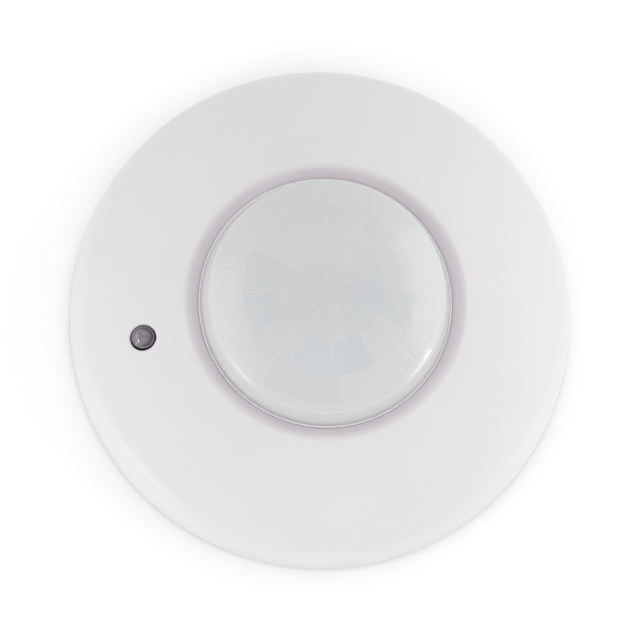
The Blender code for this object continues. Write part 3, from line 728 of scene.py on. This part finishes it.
def from_node(node, edge, angle=40.0):
    """A CAD node's shape with its sharp edges rounded."""
    bm = bmesh.new()
    bm.from_mesh(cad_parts[node].data)
    bmesh.ops.remove_doubles(bm, verts=bm.verts, dist=0.000005)
    bmesh.ops.dissolve_limit(bm, angle_limit=math.radians(0.6), verts=bm.verts, edges=bm.edges)
    sharp = [e for e in bm.edges if len(e.link_faces) == 2 and e.calc_face_angle() > math.radians(angle)]
    bmesh.ops.bevel(bm, geom=sharp, offset=edge * MM, offset_type="OFFSET", segments=2, profile=0.5,
                    affect="EDGES", clamp_overlap=True)
    return bm


def dress(piece, material, body, slot, *nodes):
    """Give a piece its material, the body it rides on and the CAD nodes it stands for. The slot is not used.
    """
    piece.data.materials.append(material)
    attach(piece, body)
    if nodes:
        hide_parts(*nodes)


def fit(name, bm, coat, body, *nodes, place=None):
    """Make a piece in a finish that rides on a body and stands for CAD nodes."""
    if place is not None:
        bm.transform(place)
    dress(link(name, bm), finish(coat), body, SLOT_OF.get(coat, coat), *nodes)


def solder(name, place, *parts):
    """Make a piece of tinned legs or contacts on the base."""
    fit(name, shape(*parts), "solder", "base", place=place)


# ---------------------------------------------------------------- finishes of the inner pieces
# colour, roughness, grain per metre, grain height in metres, and the darker patches' share of the colour
PLASTICS = {
    "plate_plastic": ((0.70, 0.69, 0.70), 0.50, 5000.0, 0.000012, 0.94),
    "ring_plastic": ((0.69, 0.69, 0.69), 0.50, 6000.0, 0.000010, 0.93),
    "copper_under_resist": ((0.040, 0.260, 0.110), 0.30, 3000.0, 0.000006, 0.85),
    "print_ink": ((0.74, 0.74, 0.70), 0.60, 4000.0, 0.000010, 0.85),
    "detector_filter": ((0.030, 0.026, 0.034), 0.10, 2500.0, 0.000003, 0.60),
    "black_plastic": ((0.024, 0.024, 0.026), 0.45, 6000.0, 0.000012, 1.50),
    "terminal_plastic": ((0.026, 0.200, 0.085), 0.42, 6000.0, 0.000012, 0.82),
    "relay_plastic": ((0.73, 0.72, 0.68), 0.36, 5000.0, 0.000008, 0.93),
    "chip_epoxy": ((0.016, 0.016, 0.017), 0.60, 9000.0, 0.000020, 1.70),
    "chip_ceramic": ((0.035, 0.032, 0.030), 0.35, 6000.0, 0.000010, 1.60),
    "led_epoxy": ((0.70, 0.05, 0.035), 0.12, 1500.0, 0.000004, 0.80),
    "trimmer_plastic": ((0.028, 0.110, 0.350), 0.38, 6000.0, 0.000010, 0.82),
    "rotor_plastic": ((0.78, 0.77, 0.72), 0.40, 6000.0, 0.000010, 0.92),
    "dip_plastic": ((0.420, 0.028, 0.018), 0.38, 6000.0, 0.000010, 0.80),
}
METALS = {
    "zinc_steel": ((0.60, 0.60, 0.58), 0.34, (400.0, 400.0, 4000.0)),
    "solder": ((0.58, 0.58, 0.57), 0.25, (900.0, 900.0, 900.0)),
    "detector_metal": ((0.68, 0.66, 0.60), 0.26, (400.0, 400.0, 4000.0)),
    "lead_metal": ((0.76, 0.66, 0.44), 0.28, (900.0, 900.0, 900.0)),
}
SLOT_OF = {"copper_under_resist": "board_laminate", "print_ink": "rotor_plastic", "solder": "zinc_steel"}
MADE = {}


def scuffed_metal(name, colour, roughness, streak):
    """Metal with drawn streaks, stains and a varying polish."""
    made = Shader(name, colour, roughness, 1.0)
    stretch = made.node("ShaderNodeMapping", made.position, Scale=streak)
    streaks = made.node("ShaderNodeTexNoise", stretch.outputs["Vector"], Scale=1.0, Detail=4.0)
    made.bump(streaks.outputs["Fac"], 0.000012)
    made.tint(made.patches(500.0, 0.4, 0.7, 0.8, 5.0), tuple(c * 0.78 for c in colour))
    made.vary_roughness(made.noise(900.0, 4.0), roughness - 0.08, roughness + 0.12)
    return made


def board_laminate():
    """Green solder resist over a woven glass laminate."""
    made = Shader("board_laminate", (0.018, 0.150, 0.060), 0.32)
    weave = [made.node("ShaderNodeTexWave", made.position, Scale=620.0, Distortion=0.6,
                       bands_direction=direction).outputs["Fac"] for direction in ("X", "Y")]
    crossed = made.node("ShaderNodeMath", *weave, operation="MULTIPLY").outputs[0]
    made.bump(crossed, 0.00001)
    made.tint(made.ramp(crossed, 0.0, 1.0, 0.0, 0.5), (0.030, 0.200, 0.085))
    made.tint(made.patches(90.0, 0.35, 0.7, 0.5), (0.012, 0.110, 0.045))
    made.set("Coat Weight", 0.4)
    made.set("Coat Roughness", 0.15)
    return made


def capacitor_sleeve():
    """Dark blue shrink sleeve with a pale polarity stripe down one side."""
    made = Shader("capacitor_sleeve", (0.018, 0.028, 0.085), 0.3)
    made.tint(made.patches(700.0, 0.4, 0.7, 0.6), (0.030, 0.042, 0.115))
    made.tint(made.layer("stripe"), (0.55, 0.57, 0.62))
    made.bump(made.noise(1600.0, 3.0), 0.000014)
    made.vary_roughness(made.noise(800.0, 3.0), 0.24, 0.38)
    return made


def finish(name):
    """The material for a finish, built once."""
    if name not in MADE:
        if name in PLASTICS:
            made = moulded(name, *PLASTICS[name])
        elif name in METALS:
            made = scuffed_metal(name, *METALS[name])
        else:
            made = {"board_laminate": board_laminate, "capacitor_sleeve": capacitor_sleeve}[name]()
        if name in ("detector_filter", "relay_plastic", "led_epoxy"):
            made.set("Coat Weight", 0.5)
            made.set("Coat Roughness", 0.06)
        if name == "led_epoxy":
            made.set("Transmission Weight", 0.35)
            made.set("IOR", 1.53)
        MADE[name] = made.material
    return MADE[name]


# ---------------------------------------------------------------- back plate and ring
def at(radius, angle, height):
    """A place at a radius, angle and height, with local X pointing away from the lens axis."""
    spot = polar(radius, angle)
    turn = Matrix.Rotation(math.radians(angle), 4, "Z")
    return Matrix.Translation(Vector((spot.x, spot.y, height)) * MM) @ turn


def make_back_plate():
    """The back plate, with the radial ribs that stiffen it."""
    fit("plate_moulding", from_node("back_plate", 0.2), "plate_plastic", "base", "back_plate")
    ribs = shape(*[(add_placed, at(43.8, angle, PLATE_TOP), add_block, (9.0, 1.1), (0.0, 0.0), -0.2, 1.6)
                   for angle in (15.0, 62.0, 118.0, 165.0, 195.0, 242.0, 298.0, 345.0)])
    fit("plate_ribs", ribs, "plate_plastic", "base")


def screw(head_radius, head_height, shank_radius, shank_length, recess, depth, crown=0.3):
    """A screw with its head's underside at height 0 and its shank below."""
    return shape((add_headed, head_radius, 0.0, head_height, crown, recess, depth),
                 (add_turned, thread_outline(shank_radius, -shank_length, 0.05), 24))


def make_ring():
    """The lens's retaining ring and its three screws, whose heads point at the ceiling."""
    fit("retaining_ring", from_node("lens_retaining_ring", 0.2), "ring_plastic", "cover",
        "lens_retaining_ring")
    head = 1.4
    for number in range(1, 4):
        node = f"ring_screw_{number}"
        over = seat(node) @ Matrix.Translation((0, 0, head * MM)) @ Matrix.Rotation(math.pi, 4, "X")
        bm = screw(2.1, head, 1.0, tall(node) - head, cross_outline(0.55, 2.2), 0.8)
        fit(f"ring_screw_body_{number}", bm, "zinc_steel", "cover", node, place=over)


# ---------------------------------------------------------------- circuit board
TRACES = ((19.5, 160, 212), (20.3, 165, 205), (12.4, 100, 140), (13.3, 60, 96), (34.3, 213, 258),
          (33.2, 216, 262), (41.3, 214, 252), (42.2, 212, 256), (34.6, 284, 305), (33.6, 282, 312),
          (42.4, 286, 308), (12.2, 190, 212), (22.8, 262, 300), (23.7, 266, 296), (24.6, 270, 292),
          (33.4, 30, 52), (34.3, 28, 54), (33.6, 118, 140), (19.0, 20, 44), (20.0, 24, 48),
          (9.4, 168, 250), (10.2, 172, 246), (34.4, 98, 112))
SPOKES = ((214, 20.4, 33.1), (222, 22.6, 33.1), (230, 22.6, 33.1), (238, 22.2, 34.2), (247, 20.5, 33.1),
          (262, 13.0, 22.7), (284, 24.7, 33.5), (300, 23.8, 34.5), (104, 14.5, 34.3), (96, 14.5, 22.0),
          (52, 21.6, 33.3), (30, 21.0, 33.3), (146, 20.0, 27.5), (136, 18.0, 33.5), (160, 18.0, 38.0),
          (170, 10.3, 20.2), (188, 10.3, 20.2), (15, 5.2, 9.6), (200, 20.4, 40.0), (206, 20.4, 41.2))


def add_trace(bm, radius, start, end, width=0.45):
    """Add a copper track that follows a circle."""
    steps = max(2, round((end - start) / 4))
    angles = [start + (end - start) * step / steps for step in range(steps + 1)]
    half = width / 2
    add_strip(bm, [[(*polar(radius + away, angle), BOARD_TOP + z) for angle in angles]
                   for away, z in (
                       (-half, -0.02), (0.05 - half, 0.045), (half - 0.05, 0.045), (half, -0.02))])


def add_pad(bm, centre, radius, hole=0.0):
    """Add a tinned ring or disc on the board."""
    top, low = BOARD_TOP + 0.06, BOARD_TOP - 0.01
    add_turned(bm, [(hole, top), (radius - 0.06, top), (radius, low), (hole, low)], 24, centre, hole > 0)


def add_print(bm, node):
    """Add the printed line round a component."""
    place = seat(node)
    size = node_size(node, place)
    place.translation.z = BOARD_TOP * MM
    across, along = size.x / 2 + 0.35, size.y / 2 + 0.35
    for x, y, w, d in ((0, along, size.x + 0.9, 0.16), (0, -along, size.x + 0.9, 0.16),
                       (across, 0, 0.16, size.y + 0.6), (-across, 0, 0.16, size.y + 0.6)):
        add_placed(bm, place, add_block, (w, d), (x, y), -0.01, 0.04, 0.06, 0.015)


def make_board():
    """The circuit board with its tracks, pads, printed outlines and screws."""
    fit("board", from_node("main_board", 0.12), "board_laminate", "base", "main_board")
    spokes = [(add_placed, at((start + end) / 2, angle, BOARD_TOP), add_block, (end - start, 0.42),
               (0.0, 0.0),
               -0.02, 0.05, 0.2, 0.02) for angle, start, end in SPOKES]
    tracks = shape(*[(add_trace, *trace) for trace in TRACES], *spokes)
    fit("board_tracks", tracks, "copper_under_resist", "base")
    fit("board_pads", shape(
        *[(add_pad, centre_of(f"board_screw_{number}"), 3.3, 1.75) for number in range(1, 5)],
        *[(add_pad, polar(end, angle), 0.5) for angle, _, end in SPOKES[::2]],
        *[(add_pad, centre_of(f"detector_lead_{number}"), 0.95, 0.62) for number in range(1, 4)]), "solder",
        "base")
    fit("board_print", shape(*[(add_print, node) for node in (
        "relay", "dip_switch_body", "terminal_block", "test_button_body", "microcontroller", "clock_crystal",
        "time_trimmer_body", "sensitivity_trimmer_body", "light_level_trimmer_body")]), "print_ink", "base")
    head = 1.7
    for number in range(1, 5):
        node = f"board_screw_{number}"
        middle, top = centre_of(node), box_mm(node)[1].z
        fit(f"board_screw_body_{number}",
            screw(2.5, head, 1.2, tall(node) - head, cross_outline(0.65, 2.7), 1.0, 0.35),
            "zinc_steel", "base", node,
            place=Matrix.Translation(Vector((middle.x, middle.y, top - head)) * MM))


# ---------------------------------------------------------------- detector
def make_detector():
    """The infra-red detector: can, filter window, spacer and gold-plated leads."""
    tab = Matrix.Rotation(math.radians(45), 4, "Z") @ Matrix.Translation((4.7 * MM, 0, 0))
    can = shape((add_headed, 4.1, 0.5, tall("detector_can"), 0.02, rounded_rectangle(4.6, 3.6, 0.5, 3)(0.0),
                 0.9,
                 0.45, 96),
                (add_turned, rounded([(0.0, 0.52, 0), (4.6, 0.52, 0.15), (4.6, 0.0, 0.15), (0.0, 0.0, 0)], 4),
                 96),
                (add_placed, tab, add_block, (1.2, 0.9), (0.0, 0.0), 0.05, 0.47, 0.2, 0.08))
    fit("detector_case", can, "detector_metal", "base", "detector_can", place=seat("detector_can"))
    pane = shape((add_block, (4.0, 3.0), (0.0, 0.0), 0.0, tall("detector_filter_window"), 0.35, 0.1))
    fit("detector_pane", pane, "detector_filter", "base", "detector_filter_window",
        place=Matrix.Translation(seat("detector_filter_window").translation))
    fit("detector_foot", from_node("detector_spacer", 0.12, 50.0), "black_plastic", "base", "detector_spacer")
    for number in range(1, 4):
        node = f"detector_lead_{number}"
        top = tall(node)
        pin = rounded([(0.0, top, 0), (0.25, top, 0.05), (0.25, 0.5, 0), (0.14, 0.05, 0.05), (0.0, 0.0, 0)],
                      3)
        fit(f"detector_pin_{number}", shape((add_turned, pin, 20)),
            "lead_metal", "base", node, place=seat(node))


# ---------------------------------------------------------------- controls
def add_notch(bm, height):
    """Add the pointer on a trimmer's rotor."""
    add_loft(bm, lambda inset: [(1.9 - inset, 0.0), (1.2 + inset, 0.35 - inset), (1.2 + inset, inset - 0.35)],
             [(0.0, height - 0.1), (0.04, height + 0.01)])


def make_trimmers():
    """The three trimmers, each with a slotted rotor and a pointer notch."""
    for name in ("time", "sensitivity", "light_level"):
        body, node = f"{name}_trimmer_body", f"{name}_trimmer_rotor"
        fit(f"{name}_trimmer_case", from_node(body, 0.25), "trimmer_plastic", "base", body)
        dial = shape((add_headed, 2.2, 0.0, tall(node), 0.05, slot_outline(0.7, 3.0), 0.6),
                     (add_notch, tall(node)))
        fit(f"{name}_trimmer_dial", dial, "rotor_plastic", f"{name}_rotor", node, place=seat(node, body))
        solder(f"{name}_trimmer_legs", seat(body), *[
            (add_ribbon, [(3.0, 1.2), (3.45, 1.0), (3.5, -0.28)], 0.6, 0.18, 0.0, (0.0, y))
            for y in (-2.5, 0.0, 2.5)])


def make_dip_switch():
    """The slide switches and their case."""
    fit("dip_switch_case", from_node("dip_switch_body", 0.18), "dip_plastic", "base", "dip_switch_body")
    for number in range(1, 5):
        node = f"dip_slider_{number}"
        height = tall(node)
        cap = shape((add_block, (1.5, 1.1), (0.0, 0.0), 0.0, height - 0.35, 0.15, 0.08),
                    (add_block, (0.9, 1.0), (0.0, 0.0), height - 0.45, height, 0.15, 0.14))
        fit(f"dip_slider_cap_{number}", cap, "rotor_plastic", f"dip_{number}", node,
            place=seat(node, "dip_switch_body"))
    solder("dip_switch_legs", seat("dip_switch_body"), *[
        (add_ribbon, [(side * 3.1, 1.1), (side * 3.42, 1.0), (side * 3.45, -0.28)], 0.6, 0.2, 0.0,
         (0.0, (index - 1.5) * 2.54)) for side in (-1, 1) for index in range(4)])


def add_button_plate(bm, low):
    """Add the test button's riveted metal plate, with the hole for its plunger."""
    high = low + 0.18
    ring = [Vector(p) for p in rounded_rectangle(5.6, 5.6, 0.4)(0.0)]
    hole = circle(2.15, 32)
    edges = [(i, (i + 1) % len(ring)) for i in range(len(ring))]
    edges += [(len(ring) + i, len(ring) + (i + 1) % len(hole)) for i in range(len(hole))]
    for z in (low, high):
        add_sheet(bm, ring + hole, edges, lambda place: z, lambda place: place.length > 2.15)
    for outline in (ring, hole):
        bridge(bm, [verts(bm, outline, z) for z in (low, high)])
    rivet = rounded([(0.0, low + 0.34, 0), (0.42, low + 0.28, 0.15), (0.42, low + 0.08, 0),
                     (0.0, low + 0.08, 0)], 3)
    for x in (-2.2, 2.2):
        for y in (-2.2, 2.2):
            add_turned(bm, rivet, 20, (x, y))


def make_button():
    """The test button: case, riveted metal cover and domed plunger."""
    case = "test_button_body"
    fit("test_button_case", from_node(case, 0.25), "black_plastic", "base", case)
    fit("test_button_plate", shape((add_button_plate, tall(case) + 0.02)), "zinc_steel", "base",
        place=seat(case))
    height = tall("test_button")
    plunger = rounded([(0.0, height, 0), (1.0, height - 0.05, 3.0), (1.6, height - 0.25, 0.3),
                       (1.6, 0.0, 0.1), (0.0, 0.0, 0)], 5)
    fit("test_button_cap", shape((add_turned, plunger, 48)), "rotor_plastic", "button", "test_button",
        place=seat("test_button"))
    solder("test_button_legs", seat(case), *[
        (add_ribbon, [(side * 2.9, 1.0), (side * 3.25, 0.9), (side * 3.3, -0.28)], 0.7, 0.2, 0.0, (0.0, y))
        for side in (-1, 1) for y in (-2.25, 2.25)])


# ---------------------------------------------------------------- terminals
def make_terminals():
    """The terminal block, its slotted screws and its clamps."""
    block = "terminal_block"
    fit("terminal_case", from_node(block, 0.22), "terminal_plastic", "base", block)
    for number in range(1, 4):
        node = f"terminal_screw_{number}"
        head = shape((add_headed, 1.5, 0.0, tall(node), 0.12, slot_outline(0.6, 2.6), 0.5, 0.15))
        fit(f"terminal_screw_head_{number}", head, "zinc_steel", "base", node, place=seat(node, block))
        node = f"wire_clamp_{number}"
        clamp = shape((add_block, (3.0, 2.6), (0.0, 0.0), 0.0, 0.55, 0.3, 0.12),
                      *[(add_block, (0.25, 2.2), (x, 0.0), 0.45, 0.7, 0.1, 0.08)
                        for x in (-0.9, -0.3, 0.3, 0.9)])
        fit(f"wire_clamp_plate_{number}", clamp, "zinc_steel", "base", node, place=seat(node, block))


# ---------------------------------------------------------------- components
def make_relay():
    """The relay's case, with its base seam, vent pip and pins."""
    place = seat("relay")
    size = node_size("relay", place)
    seam = [(0.0, 0.95), (0.14, 1.02), (0.14, 1.12), (0.0, 1.2)]
    sections = edge_sections(0.0, size.z, 0.35)
    middle = len(sections) // 2
    pip = rounded([(0.0, size.z + 0.12, 0), (0.55, size.z + 0.1, 0.12), (0.6, size.z - 0.1, 0),
                   (0.0, size.z - 0.1, 0)], 3)
    case = shape((add_loft, rounded_rectangle(size.x, size.y, 0.5),
                  sections[:middle] + seam + sections[middle:]),
                 (add_turned, pip, 24, (1.9, 5.2)))
    fit("relay_case", case, "relay_plastic", "base", "relay", place=place)
    solder("relay_pins", place, *[(add_block, (0.8, 0.5), spot, -0.3, 0.1, 0.1, 0.05) for spot in (
        (-2.4, -5.6), (2.4, -5.6), (-2.4, 4.0), (2.4, 4.0), (0.0, 6.2))])


def make_capacitor(node):
    """An electrolytic capacitor: shrink sleeve, scored aluminium top and rubber foot."""
    place = seat(node)
    size = node_size(node, place)
    radius, height = size.x / 2, size.z
    outline = rounded([(radius - 0.75, height - 0.12, 0.05), (radius - 0.7, height, 0.1),
                       (radius, height, 0.45),
                       (radius, 1.65, 0.3), (radius - 0.32, 1.25, 0.3), (radius - 0.32, 1.0, 0.3),
                       (radius, 0.7, 0.3), (radius, 0.0, 0.2), (radius - 0.8, 0.0, 0)], 5)
    bm = shape((add_turned, outline, 96),
               (add_turned, [(radius - 0.75, height - 0.12), (0.0, height - 0.14)], 96),
               (add_turned, [(radius - 0.8, 0.0), (0.0, 0.05)], 96))
    stripe = bm.faces.layers.float.new("stripe")
    for face in bm.faces:
        middle = face.calc_center_median() / MM
        side = abs(math.degrees(math.atan2(middle.y, middle.x)))
        dash = int(middle.z / 0.9) % 2 == 0 and side < 5
        face[stripe] = 1.0 if side < 22 and 0.9 < middle.z < height - 0.5 and not dash else 0.0
    fit(f"{node}_sleeve", bm, "capacitor_sleeve", "base", node, place=place)

    arc = [Vector((0.1, 0.1)) + polar(radius - 1.05, 90 * step / 12) for step in range(13)]
    wedge = (add_loft, lambda inset: [(x * (1 - inset), y * (1 - inset)) for x, y in [(0.14, 0.14), *arc]],
             [(0.0, height - 0.2), (0.0, height - 0.08), (0.03, height - 0.05)])
    solder(f"{node}_top", place, *[
        (add_placed, Matrix.Rotation(math.pi / 2 * quarter, 4, "Z"), *wedge) for quarter in range(4)])
    solder(f"{node}_legs", place, *[(add_pin, 0.26, 0.2, -0.3, (0.0, y)) for y in (-1.25, 1.25)])


def make_chip(node, body, sides):
    """A moulded chip with gull-wing legs. Sides lists (turn, start, reach, rows, leg width)."""
    place = seat(node)
    height = tall(node)
    middle = height * 0.5
    case = shape((add_loft, rounded_rectangle(*body, 0.12), [
        (0.16, 0.05), (0.12, 0.0), (0.0, middle - 0.05), (0.0, middle + 0.05), (0.12, height - 0.03),
        (0.16, height)]))
    fit(f"{node}_case", case, "chip_epoxy", "base", node, place=place)
    dimple = [(0.0, height + 0.015), (0.26, height + 0.015), (0.32, height - 0.02), (0.0, height - 0.02)]
    mark = shape((add_turned, dimple, 24, (-body[0] / 2 + 0.75, body[1] / 2 - 0.75)))
    fit(f"{node}_mark", mark, "chip_ceramic", "base", place=place)
    legs = []
    for turn, start, reach, rows, width in sides:
        path = [(start - 0.25, middle), (start + 0.16, middle), (start + 0.26, middle - 0.1),
                (start + 0.34, -0.12), (start + 0.44, -0.22), (reach, -0.24)]
        spin = Matrix.Rotation(math.radians(turn), 2)
        legs += [(add_ribbon, path, width, 0.12, turn, spin @ Vector((0.0, row))) for row in rows]
    solder(f"{node}_legs", place, *legs)


def make_chips():
    """The microcontroller, the amplifier and the voltage regulator."""
    rows = [(index - 3.5) * 0.65 for index in range(8)]
    make_chip("microcontroller", (5.6, 5.6), [(turn, 2.8, 3.5, rows, 0.28) for turn in (0, 90, 180, 270)])
    pitch = [(index - 1.5) * 1.15 for index in range(4)]
    make_chip("amplifier_chip", (4.8, 2.8), [(turn, 1.4, 2.0, pitch, 0.4) for turn in (90, 270)])
    make_chip("voltage_regulator", (2.3, 6.3),
              [(180, 1.15, 1.75, (-2.3, 0.0, 2.3), 0.75), (0, 1.15, 1.75, (0.0,), 3.0)])


def make_crystal():
    """The crystal's drawn can on its flange."""
    place = seat("clock_crystal")
    size = node_size("clock_crystal", place)
    corner = size.x / 2 - 0.02
    can = shape((add_loft, rounded_rectangle(size.x, size.y, corner, 10), edge_sections(0.0, 0.5, 0.18)),
                (add_loft, rounded_rectangle(size.x - 0.7, size.y - 0.7, corner - 0.35, 10),
                 [(-0.12, 0.45), (0.0, 0.62)] + edge_sections(0.7, size.z, 0.5)[5:]))
    fit("crystal_can", can, "detector_metal", "base", "clock_crystal", place=place)
    solder("crystal_legs", place, *[(add_pin, 0.25, 0.1, -0.3, (0.0, y)) for y in (-2.45, 2.45)])


def make_light_sensor():
    """The ambient light sensor under the smoked window."""
    node = "ambient_light_sensor"
    place = seat(node)
    size = node_size(node, place)
    lens = rounded([(0.0, size.z, 0), (0.7, size.z - 0.05, 1.2), (1.0, size.z - 0.25, 0.1),
                    (0.0, size.z - 0.3, 0)], 5)
    fit("light_sensor", shape((add_block, (size.x, size.y), (0.0, 0.0), 0.0, size.z - 0.2, 0.25, 0.1),
                              (add_turned, lens, 40)), "detector_filter", "base", node, place=place)
    solder("light_sensor_contacts", place, *[
        (add_block, (2.2, 0.5), (0.0, side * 1.62), -0.28, 0.3, 0.12, 0.08) for side in (-1, 1)])


def make_led():
    """The status light: flanged epoxy dome on two leads."""
    place = seat("status_led")
    height = tall("status_led")
    dome = rounded([(0.0, height, 0), (0.8, height - 0.15, 0.9), (1.48, height - 1.0, 1.3), (1.5, 0.8, 0.1),
                    (1.88, 0.75, 0.1), (1.88, 0.0, 0.1), (0.0, 0.0, 0)], 6)
    fit("status_lamp", shape((add_turned, dome, 64)), "led_epoxy", "base", "status_led", place=place)
    solder("status_lamp_legs", place, *[
        (add_block, (0.5, 0.5), (0.0, y), -0.3, 0.15, 0.08, 0.04) for y in (-1.27, 1.27)])


def make_resistors():
    """The chip resistors with their tinned ends."""
    fillet = [(0.0, -0.32), (0.12, -0.22), (0.35, -0.02)]
    for number in range(1, 5):
        node = f"chip_resistor_{number}"
        place = seat(node)
        size = node_size(node, place)
        fit(f"{node}_body", shape((add_block, (size.x - 0.5, size.y), (0.0, 0.0), 0.0, size.z, 0.06, 0.04)),
            "chip_ceramic", "base", node, place=place)
        ends = []
        for side in (-1, 1):
            ends += [(add_block, (0.42, size.y), (side * (size.x / 2 - 0.21), 0.0), -0.05, size.z, 0.1, 0.08),
                     (add_loft, rounded_rectangle(0.9, size.y + 0.2, 0.2), fillet,
                      (side * (size.x / 2 + 0.1), 0.0))]
        solder(f"{node}_ends", place, *ends)


# ---------------------------------------------------------------- stage
def make_floor():
    """A plain white floor."""
    bm = bmesh.new()
    bmesh.ops.create_grid(bm, x_segments=2, y_segments=2, size=3.0)
    floor = link("floor", bm)
    floor.location.z = -0.0002
    shader = Shader("floor_white", (0.95, 0.95, 0.95), 0.9)
    shader.set("Specular IOR Level", 0.0)
    floor.data.materials.append(shader.material)


def polar_axis(azimuth, elevation):
    """The direction at an azimuth and an elevation in degrees."""
    up = math.radians(elevation)
    return Vector((*(polar(1.0, azimuth) * math.cos(up)), math.sin(up)))


def aim_at_origin(thing, away, height, distance, roll=0.0):
    """Stand a lamp or camera off in a direction, facing a point on the lens axis."""
    bpy.context.scene.collection.objects.link(thing)
    thing.location = Vector((0.0, 0.0, height)) + away * distance
    thing.rotation_mode = "QUATERNION"
    turn = Matrix.Rotation(math.radians(roll), 4, "Z").to_quaternion()
    thing.rotation_quaternion = away.to_track_quat("Z", "Y") @ turn


def area_light(name, azimuth, elevation, distance, size, power):
    """A rectangular area light that faces the lens."""
    data = bpy.data.lights.new(name, "AREA")
    data.shape = "RECTANGLE"
    data.size, data.size_y = size
    data.energy = power
    aim_at_origin(bpy.data.objects.new(name, data), polar_axis(azimuth, elevation), 0.02, distance)


CAMERA_AZIMUTH = -118.3
CAMERA_ELEVATION = 78.0
CAMERA_ROLL = 17.4
CAMERA_DISTANCE = 1.0
CAMERA_LENS = 246.0
CAMERA_TARGET = 0.0026


def make_camera():
    """The camera, nearly along the lens axis."""
    data = bpy.data.cameras.new("camera")
    data.lens = CAMERA_LENS
    data.sensor_width = 36.0
    camera = bpy.data.objects.new("camera", data)
    aim_at_origin(camera, polar_axis(CAMERA_AZIMUTH, CAMERA_ELEVATION), CAMERA_TARGET, CAMERA_DISTANCE,
                  CAMERA_ROLL)
    bpy.context.scene.camera = camera


def make_world():
    """Even white light from all round."""
    world = bpy.data.worlds.new("studio")
    world.use_nodes = True
    background = world.node_tree.nodes["Background"]
    background.inputs["Color"].default_value = (1.0, 1.0, 1.0, 1.0)
    background.inputs["Strength"].default_value = 0.88
    bpy.context.scene.world = world


make_camera()
make_world()
make_floor()
area_light("light_left", 206.0, 11.0, 1.0, (0.34, 0.06), 1.7)
area_light("light_right", -37.0, 10.0, 1.0, (0.34, 0.06), 1.6)
area_light("fill_left", 176.0, 14.0, 1.3, (1.6, 0.9), 3.2)
area_light("fill_right", 2.0, 14.0, 1.3, (1.6, 0.9), 5.0)
area_light("fill_top", 74.0, 50.0, 1.3, (1.0, 0.7), 1.2)
area_light("fill_bottom", -110.0, 58.0, 1.3, (1.0, 0.7), 1.0)
bpy.context.scene.view_settings.view_transform = "Standard"

make_cover()
make_lens()
make_window()
make_back_plate()
make_ring()
make_board()
make_detector()
make_trimmers()
make_dip_switch()
make_button()
make_terminals()
make_relay()
make_capacitor("supply_capacitor")
make_capacitor("filter_capacitor")
make_chips()
make_crystal()
make_light_sensor()
make_led()
make_resistors()
